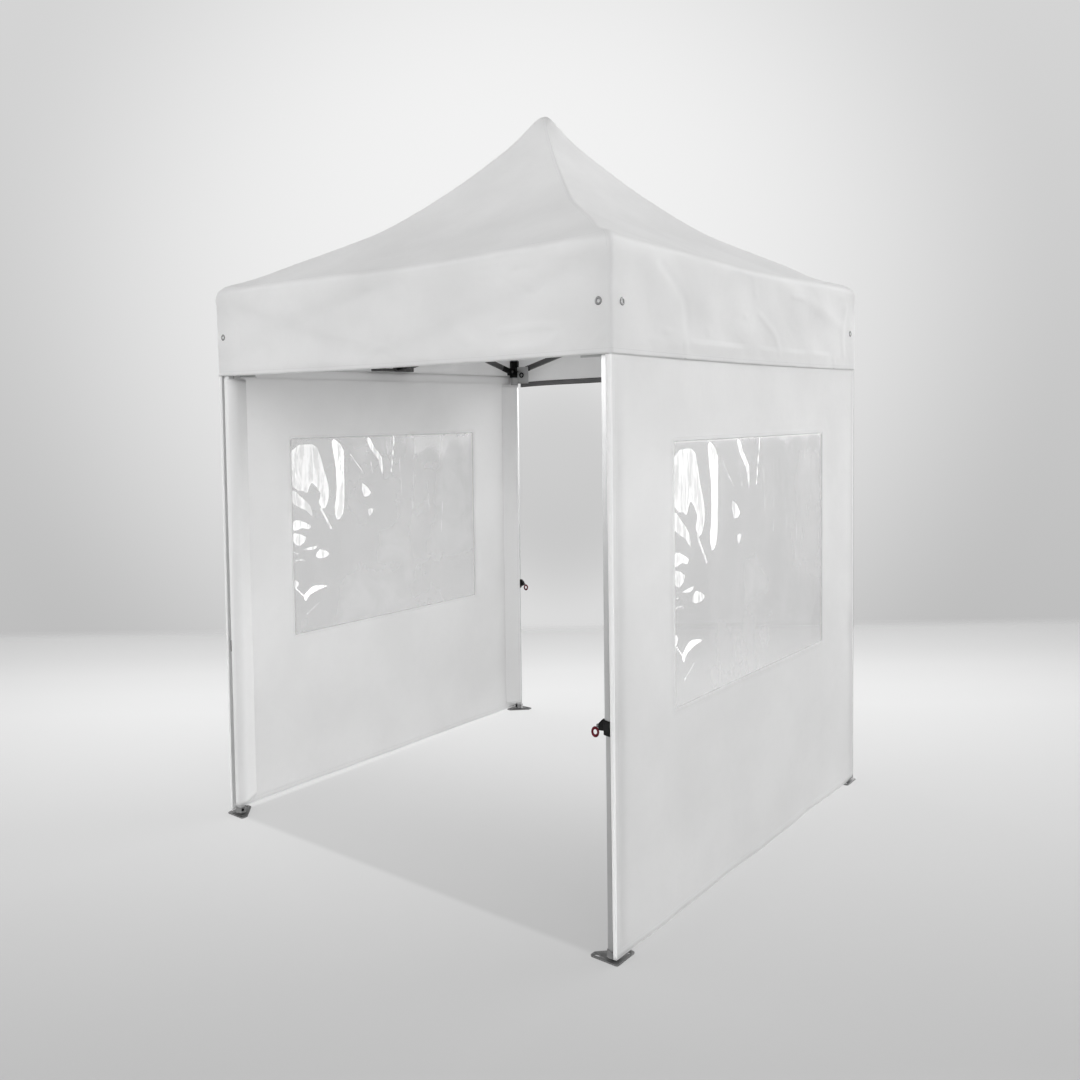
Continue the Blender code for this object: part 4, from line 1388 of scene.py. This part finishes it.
# The steel plate beside each lower bracket, which a wall's top corner hooks on
hookPlate = {
    "face": 0.0222,
    "thick": 0.0022,
    "from": 0.040,
    "to": 0.120,
    "low": 1.917,
    "high": 2.012,
    "bolt": 0.072,
    "boltHeight": 1.964,
}


def lockMatrix(reach, height):
    # At the pin's line: X leads away from the leg and Z is up
    spot = Matrix.Translation((reach * math.cos(lockAngle), reach * math.sin(lockAngle), height))
    return spot @ Matrix.Rotation(lockAngle, 4, "Z")


for corner in corners:
    home = atCorner(corner)
    legBody = corner + "_leg"

    foot = refinedCopy("foot_plate_" + corner, 0.0009)
    bead = [(0.0172, 0.0050), (0.0215, 0.0050), (0.0208, 0.0066), (0.0190, 0.0078), (0.0172, 0.0084)]
    addTurned(foot, bead, home, 40)
    socketBolt = home @ turnZ(-15) @ Vector((0.0187, 0, 0.018))
    away = (home.to_3x3() @ turnZ(-15).to_3x3()) @ Vector((1, 0, 0))
    addBolt(foot, socketBolt, away, 0.0042, 1)
    piece = makePiece("steel_foot_" + corner, foot, [zincSteel, blackNylon], legBody, 30)
    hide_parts("foot_plate_" + corner)

    lock = refinedCopy("leg_lock_" + corner, 0.0030, 3)
    piece = makePiece("moulded_lock_" + corner, lock, blackNylon, "frame", 35)
    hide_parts("leg_lock_" + corner)

    bm = bmesh.new()
    sideways = Matrix.Rotation(math.pi / 2, 4, "Y")
    start = ringLooks["pinFrom"]
    head = ringLooks["headFrom"]
    shaft = [(0, 0), (0.0035, 0), (0.004, 0.0008), (0.004, head - start + 0.001)]
    addTurned(bm, shaft, home @ lockMatrix(start, ringLooks["pinHeight"]) @ sideways, 20, 1)
    long = ringLooks["headLong"]
    knob = [(0.0030, 0), (0.0055, 0.0004), (0.0062, 0.0014)]
    knob += [(0.0062, long - 0.0014), (0.0052, long), (0, long)]
    addTurned(bm, knob, home @ lockMatrix(head, ringLooks["pinHeight"]) @ sideways, 24, 1)
    middle = (ringLooks["wide"] - ringLooks["stroke"]) / 2
    tallScale = Matrix.Diagonal((1, ringLooks["tall"] / ringLooks["wide"], 1, 1))
    upright = Matrix.Rotation(math.pi / 2, 4, "X")
    ringSpot = home @ lockMatrix(ringLooks["ringReach"], ringLooks["pinHeight"] - ringLooks["ringDrop"])
    addTorus(bm, middle, ringLooks["stroke"], ringSpot @ upright @ tallScale)
    piece = makePiece("pull_ring_" + corner, bm, [redPlastic, zincSteel], corner + "_pin", 40)
    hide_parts("lock_ring_" + corner)

    for part, high in (("corner_bracket_", True), ("slider_bracket_", False)):
        bm = refinedCopy(part + corner, 0.0012)
        pivot = upperPivot if high else lowerPivot
        shift = -0.008 if high else 0.008
        for spot, direction in (
            (Vector((0.045, shift - 0.0131, pivot)), Vector((0, -1, 0))),
            (Vector((0.045, shift + 0.0131, pivot)), Vector((0, 1, 0))),
            (Vector((shift - 0.0131, 0.045, pivot)), Vector((-1, 0, 0))),
            (Vector((shift + 0.0131, 0.045, pivot)), Vector((1, 0, 0))),
        ):
            addBolt(bm, home @ spot, home.to_3x3() @ direction, 0.0050, 1)
        piece = makePiece("nylon_" + part + corner, bm, [blackNylon, zincSteel], "frame", 35)
        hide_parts(part + corner)
    bm = bmesh.new()
    plateMiddle = (hookPlate["from"] + hookPlate["to"]) / 2, (hookPlate["low"] + hookPlate["high"]) / 2
    size = (hookPlate["thick"], hookPlate["to"] - hookPlate["from"], hookPlate["high"] - hookPlate["low"])
    addBlock(bm, size, home @ Matrix.Translation((hookPlate["face"], *plateMiddle)), 0.0009)
    lip = (0.010, size[1], hookPlate["thick"])
    lipSpot = (hookPlate["face"] + 0.004, plateMiddle[0], hookPlate["low"])
    addBlock(bm, lip, home @ Matrix.Translation(lipSpot), 0.0009)
    front = hookPlate["face"] + hookPlate["thick"] / 2
    inwardTurn = Matrix.Rotation(math.pi / 2, 4, "Y")
    ringSpot = Matrix.Translation((front + 0.002, hookPlate["bolt"], hookPlate["boltHeight"]))
    addTorus(bm, 0.0120, 0.0070, home @ ringSpot @ inwardTurn, 28, 1)
    rivetSpot = home @ Vector((front, hookPlate["bolt"], hookPlate["boltHeight"]))
    addRivet(bm, rivetSpot, home.to_3x3() @ Vector((1, 0, 0)), 0.0075, 2)
    makePiece("hook_plate_" + corner, bm, [plateSteel, blackNylon, aluminium], "frame", 35)
print("feet, locks and brackets made")


# Trusses: scissor bars with nylon joints

truss = {
    "tall": 0.032,
    "thick": 0.015,
    "round": 0.0032,
    "shift": 0.008,
    "inset": 0.045,
    "midSpread": 0.100,
    "midLong": 0.060,
    "midDeep": 0.042,
    "midTall": 0.042,
    "stripTall": 0.014,
    "forkPivot": 0.050,
    "forkReach": 0.060,
    "cheek": 0.005,
    "hubPivot": 0.052,
    "caps": (0.078, 0.034),
    "rivet": 0.0062,
}


def addBar(bm, start, end, shift, caps=(0.034, 0.034)):
    # A rounded aluminium tube between two pivots, with nylon caps on its ends
    (x1, z1), (x2, z2) = start, end
    long = math.hypot(x2 - x1, z2 - z1)
    tilt = Matrix.Rotation(-math.atan2(z2 - z1, x2 - x1), 4, "Y")
    middle = Matrix.Translation(((x1 + x2) / 2, shift, (z1 + z2) / 2)) @ tilt
    tubeLow = caps[0] - long / 2 - 0.004
    tubeHigh = long / 2 - caps[1] + 0.004
    size = (tubeHigh - tubeLow, truss["thick"] - 0.0012, truss["tall"] - 0.0024)
    addBlock(bm, size, middle @ Matrix.Translation(((tubeLow + tubeHigh) / 2, 0, 0)), truss["round"])
    for sign, cap in zip((-1, 1), caps):
        capLong = cap + truss["tall"] * 0.45
        spot = middle @ Matrix.Translation((sign * (long / 2 - cap + capLong / 2), 0, 0))
        size = (capLong, truss["thick"], truss["tall"] - 0.0004)
        addBlock(bm, size, spot, truss["round"] * 1.6, 1)


def addMidJoint(bm, height, shift):
    # End blocks on a low strip, and a fork to the roof truss
    low = height - truss["midTall"] / 2
    between = 2 * truss["midSpread"] - truss["midLong"]
    strip = (between + 0.01, truss["midDeep"], truss["stripTall"])
    addBlock(bm, strip, Matrix.Translation((0, 0, low + truss["stripTall"] / 2)), 0.001)
    for sign in (-1, 1):
        size = (truss["midLong"], truss["midDeep"], truss["midTall"])
        addBlock(bm, size, Matrix.Translation((sign * truss["midSpread"], 0, height)), 0.0022)
        for direction in (-1, 1):
            spot = Vector((sign * truss["midSpread"], direction * truss["midDeep"] / 2, height))
            addBolt(bm, spot, (0, direction, 0), 0.0050, 1)
    gap = truss["thick"] / 2 + 0.0003 + truss["cheek"] / 2
    for sign in (-1, 1):
        size = (truss["cheek"], truss["forkReach"] - 0.008, truss["midTall"])
        spot = Matrix.Translation((shift + sign * gap, (truss["forkReach"] + 0.008) / 2, height))
        addBlock(bm, size, spot, 0.001)
    root = (truss["thick"] + 2 * truss["cheek"], 0.026, truss["midTall"])
    addBlock(bm, root, Matrix.Translation((shift, 0.019, height)), 0.001)
    rivetHalf = gap + truss["cheek"] / 2
    for sign in (-1, 1):
        addRivet(bm, Vector((shift + sign * rivetHalf, truss["forkPivot"], height)), (sign, 0, 0), 0.0058, 1)


for side, degrees in sides.items():
    out = turnZ(degrees) @ Matrix.Translation((0, -legAxis, 0))
    turn = turnZ(degrees)
    reach = legAxis - truss["inset"]
    shift = truss["shift"]
    spread = truss["midSpread"]
    level = (upperPivot + lowerPivot) / 2
    rivetOut = shift + truss["thick"] / 2
    bars = bmesh.new()
    for sign in (-1, 1):
        addBar(bars, (sign * reach, upperPivot), (sign * spread, lowerPivot), -shift, truss["caps"])
        addBar(bars, (sign * reach, lowerPivot), (sign * spread, upperPivot), shift, truss["caps"])
        for direction in (-1, 1):
            spot = Vector((sign * (reach + spread) / 2, direction * rivetOut, level))
            addBolt(bars, spot, (0, direction, 0), truss["rivet"], 2)
    bmesh.ops.transform(bars, matrix=out, verts=bars.verts)
    piece = makePiece("scissor_bars_" + side, bars, barFinish, "frame", 35)
    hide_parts("side_truss_" + side)

    joints = bmesh.new()
    addMidJoint(joints, upperPivot, shift)
    addMidJoint(joints, lowerPivot, -shift)
    bmesh.ops.transform(joints, matrix=out, verts=joints.verts)
    makePiece("middle_joints_" + side, joints, [jointNylon, zincSteel], "frame", 35)

    near = truss["hubPivot"]
    far = legAxis - truss["forkPivot"]
    bars = bmesh.new()
    addBar(bars, (far, upperPivot), (near, hubLowerPivot), -shift)
    addBar(bars, (far, lowerPivot), (near, hubUpperPivot), shift)
    share = (upperPivot - lowerPivot) / (upperPivot - lowerPivot + hubUpperPivot - hubLowerPivot)
    crossing = (far + (near - far) * share, upperPivot + (hubLowerPivot - upperPivot) * share)
    for direction in (-1, 1):
        spot = Vector((crossing[0], direction * rivetOut, crossing[1]))
        addBolt(bars, spot, (0, direction, 0), truss["rivet"], 2)
    bmesh.ops.transform(bars, matrix=turn @ turnZ(-90), verts=bars.verts)
    piece = makePiece("roof_bars_" + side, bars, barFinish, "frame", 35)
    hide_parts("roof_truss_" + side)

for node in ("upper_hub", "lower_hub"):
    bm = refinedCopy(node, 0.0012)
    height = hubUpperPivot if node == "upper_hub" else hubLowerPivot
    shift = truss["shift"] if node == "upper_hub" else -truss["shift"]
    for degrees in sides.values():
        turn = turnZ(degrees)
        for direction in (-1, 1):
            spot = turn @ Vector((truss["hubPivot"], shift + direction * 0.0131, height))
            addRivet(bm, spot, turn.to_3x3() @ Vector((0, direction, 0)), 0.0058, 1)
    piece = makePiece("nylon_" + node, bm, [blackNylon, zincSteel], "frame", 35)
    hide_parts(node)

pole = refinedCopy("peak_pole", 0.0006)
piece = makePiece("drawn_peak_pole", pole, aluminium, "frame", 30)
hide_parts("peak_pole")
print("trusses, hubs and pole made")


# Studio: pale floor with a painted pool of light and a painted shadow, soft light, and the camera

studio = {
    "floorHalf": 60.0,
    "depthTurn": 38.93,  # degrees from +Y to the studio's far end
    # A painted pool of light on the floor: its tone by its distance behind the tent's middle, towards the
    # far end
    "floorTones": [
        (-1.93, 0.500),
        (-1.23, 0.572),
        (-0.78, 0.620),
        (-0.20, 0.668),
        (0.57, 0.735),
        (1.37, 0.800),
        (1.77, 0.800),
        (2.27, 0.765),
        (2.77, 0.690),
        (3.22, 0.640),
        (3.67, 0.580),
    ],
    "lightPool": (1.5, 7.0),  # how far aside it turns to the plain tone
    "sideTone": 0.50,
    "floorEnd": (3.42, 3.82),  # where the floor gives way to the backdrop
    "floorGlow": 0.74,
    "floorBase": 0.34,
    "underTent": 0.13,
    "skyTone": 0.47,
    "skyRise": 0.21,
    "skySpot": 0.26,
    "behindTent": 0.20,
    "overhead": -0.32,
    # Where each of those stands: heights of the sky's rise and of its top, and the spots' aims and edges
    "skyHeights": (-0.5, 0.53),
    "topHeights": (0.5, 0.9),
    "spotLift": 0.077,
    "spotEdge": (0.875, 1.0),
    "behindAside": 0.043,
    "behindDrop": 0.06,
    "behindEdge": (0.989, 0.9998),
    "shadeDepth": (-0.75, 0.55),  # where the shadow painted on the floor between the walls fades, front to back
    "shadeFront": (-1.02, -0.98),
    "shadeSides": (0.98, 1.01),
    "lamps": {
        "front_soft": {"from": (0.80, -0.60, 0.02), "energy": 2.26, "angle": 60},
        "front_left_soft": {"from": (-0.42, -0.90, 0.05), "energy": 1.42, "angle": 60},
        "left_soft": {"from": (-1.0, -0.1, 0.1), "energy": 2.2, "angle": 60},
        "back_soft": {"from": (0.30, 1.0, 0.15), "energy": 3.6, "angle": 60},
    },
}

cameraData = bpy.data.cameras.new("camera")
camera = bpy.data.objects.new("camera", cameraData)
bpy.context.scene.collection.objects.link(camera)
cameraTurn = Matrix((cameraRight, cameraUp, cameraBack)).transposed().to_4x4()
camera.matrix_world = Matrix.Translation(cameraPlace) @ cameraTurn
cameraData.sensor_width = 36.0
cameraData.lens = 36.0 * view["focal"] / view["image"]
cameraData.shift_x = 0.5 - view["centre"][0] / view["image"]
cameraData.shift_y = view["centre"][1] / view["image"] - 0.5
bpy.context.scene.camera = camera

forward = turnZ(studio["depthTurn"]) @ Vector((0, 1, 0))
sideways = Vector((forward.y, -forward.x, 0))


def dotWith(owner, point, aim):
    return addNode(owner, "VectorMath", {0: point, 1: tuple(aim)}, operation="DOT_PRODUCT").outputs["Value"]


def backdropTone(owner, direction):
    # The backdrop's tone by direction: brighter behind the roof, darker behind the open back
    high = addNode(owner, "SeparateXYZ", {0: direction}).outputs["Z"]
    spotAim = forward + Vector((0, 0, studio["spotLift"]))
    spot = dotWith(owner, direction, spotAim.normalized())
    behindAim = forward + studio["behindAside"] * sideways - Vector((0, 0, studio["behindDrop"]))
    behind = dotWith(owner, direction, behindAim.normalized())
    topTone = studio["skyTone"] + studio["skyRise"]
    tone = ranged(owner, high, *studio["skyHeights"], studio["skyTone"], topTone)
    tone = maths(owner, "ADD", tone, ranged(owner, spot, *studio["spotEdge"], 0.0, studio["skySpot"]))
    shadow = ranged(owner, behind, *studio["behindEdge"], 0.0, studio["behindTent"])
    tone = maths(owner, "SUBTRACT", tone, shadow)
    return maths(owner, "ADD", tone, ranged(owner, high, *studio["topHeights"], 0.0, studio["overhead"]))


floorLook = newMaterial("studioFloor", roughness=0.9, specularIorLevel=0.0, emissionStrength=1.0)
floorPoint = objectPoint(floorLook)
behindTent = dotWith(floorLook, floorPoint, forward)
besideTent = dotWith(floorLook, floorPoint, sideways)
nearest = studio["floorTones"][0][0]
farthest = studio["floorTones"][-1][0]
distanceShare = ranged(floorLook, behindTent, nearest, farthest, 0.0, 1.0, False)
ramp = addNode(floorLook, "ValToRGB", {0: distanceShare})
ramp.color_ramp.interpolation = "LINEAR"
while len(ramp.color_ramp.elements) < len(studio["floorTones"]):
    ramp.color_ramp.elements.new(0.5)
for element, (distance, tone) in zip(ramp.color_ramp.elements, studio["floorTones"]):
    element.position = (distance - nearest) / (farthest - nearest)
    element.color = grey(tone)
spots = addNode(floorLook, "SeparateXYZ", {0: floorPoint})
# A shadow painted on the floor between the walls, darkest at the front opening and fading towards the back
shade = ranged(floorLook, spots.outputs["Y"], *studio["shadeDepth"], studio["underTent"], 0.0)
behindFront = ranged(floorLook, spots.outputs["Y"], *studio["shadeFront"], 0.0, 1.0)
fromMiddle = maths(floorLook, "ABSOLUTE", spots.outputs["X"])
betweenWalls = ranged(floorLook, fromMiddle, *studio["shadeSides"], 1.0, 0.0)
shade = maths(floorLook, "MULTIPLY", shade, maths(floorLook, "MULTIPLY", behindFront, betweenWalls))
farAside = ranged(floorLook, maths(floorLook, "ABSOLUTE", besideTent), *studio["lightPool"], 0.0, 1.0)
floorTone = mixedColor(floorLook, farAside, ramp.outputs[0], grey(studio["sideTone"]))
floorTone = mixedColor(floorLook, shade, floorTone, grey(0.0))
# The floor glows with most of its tone as painted light, and reflects the rest
setSocket(floorLook, "Emission Color", mixedColor(floorLook, studio["floorGlow"], grey(0.0), floorTone))
setSocket(floorLook, "Base Color", mixedColor(floorLook, studio["floorBase"], grey(0.0), floorTone))
farShare = ranged(floorLook, behindTent, *studio["floorEnd"], 0.0, 1.0)
seenShare = maths(floorLook, "MULTIPLY", farShare, addNode(floorLook, "LightPath").outputs["Is Camera Ray"])
floorTree = floorLook.node_tree
clearFloor = addNode(floorLook, "BsdfTransparent").outputs[0]
floorShader = floorTree.nodes["Principled BSDF"].outputs[0]
fading = addNode(floorLook, "MixShader", {0: seenShare, 1: floorShader, 2: clearFloor})
floorTree.links.new(fading.outputs[0], floorTree.nodes["Material Output"].inputs["Surface"])
bm = bmesh.new()
bmesh.ops.create_grid(bm, x_segments=8, y_segments=8, size=studio["floorHalf"])
floorMesh = bpy.data.meshes.new("studio_floor")
bm.to_mesh(floorMesh)
bm.free()
floorMesh.materials.append(floorLook)
floor = bpy.data.objects.new("studio_floor", floorMesh)
bpy.context.scene.collection.objects.link(floor)

world = bpy.data.worlds.new("studio")
world.use_nodes = True
bpy.context.scene.world = world
worldPoint = addNode(world, "TexCoord").outputs["Generated"]
background = world.node_tree.nodes["Background"]
world.node_tree.links.new(backdropTone(world, worldPoint), background.inputs["Color"])
background.inputs["Strength"].default_value = 1.0

for name, lamp in studio["lamps"].items():
    lampData = bpy.data.lights.new(name, "SUN")
    lampData.energy = lamp["energy"]
    lampData.angle = math.radians(lamp["angle"])
    light = bpy.data.objects.new(name, lampData)
    bpy.context.scene.collection.objects.link(light)
    light.matrix_world = pointing((0, 0, 6), lamp["from"])
bpy.context.scene.view_settings.view_transform = "Standard"
print("studio made")
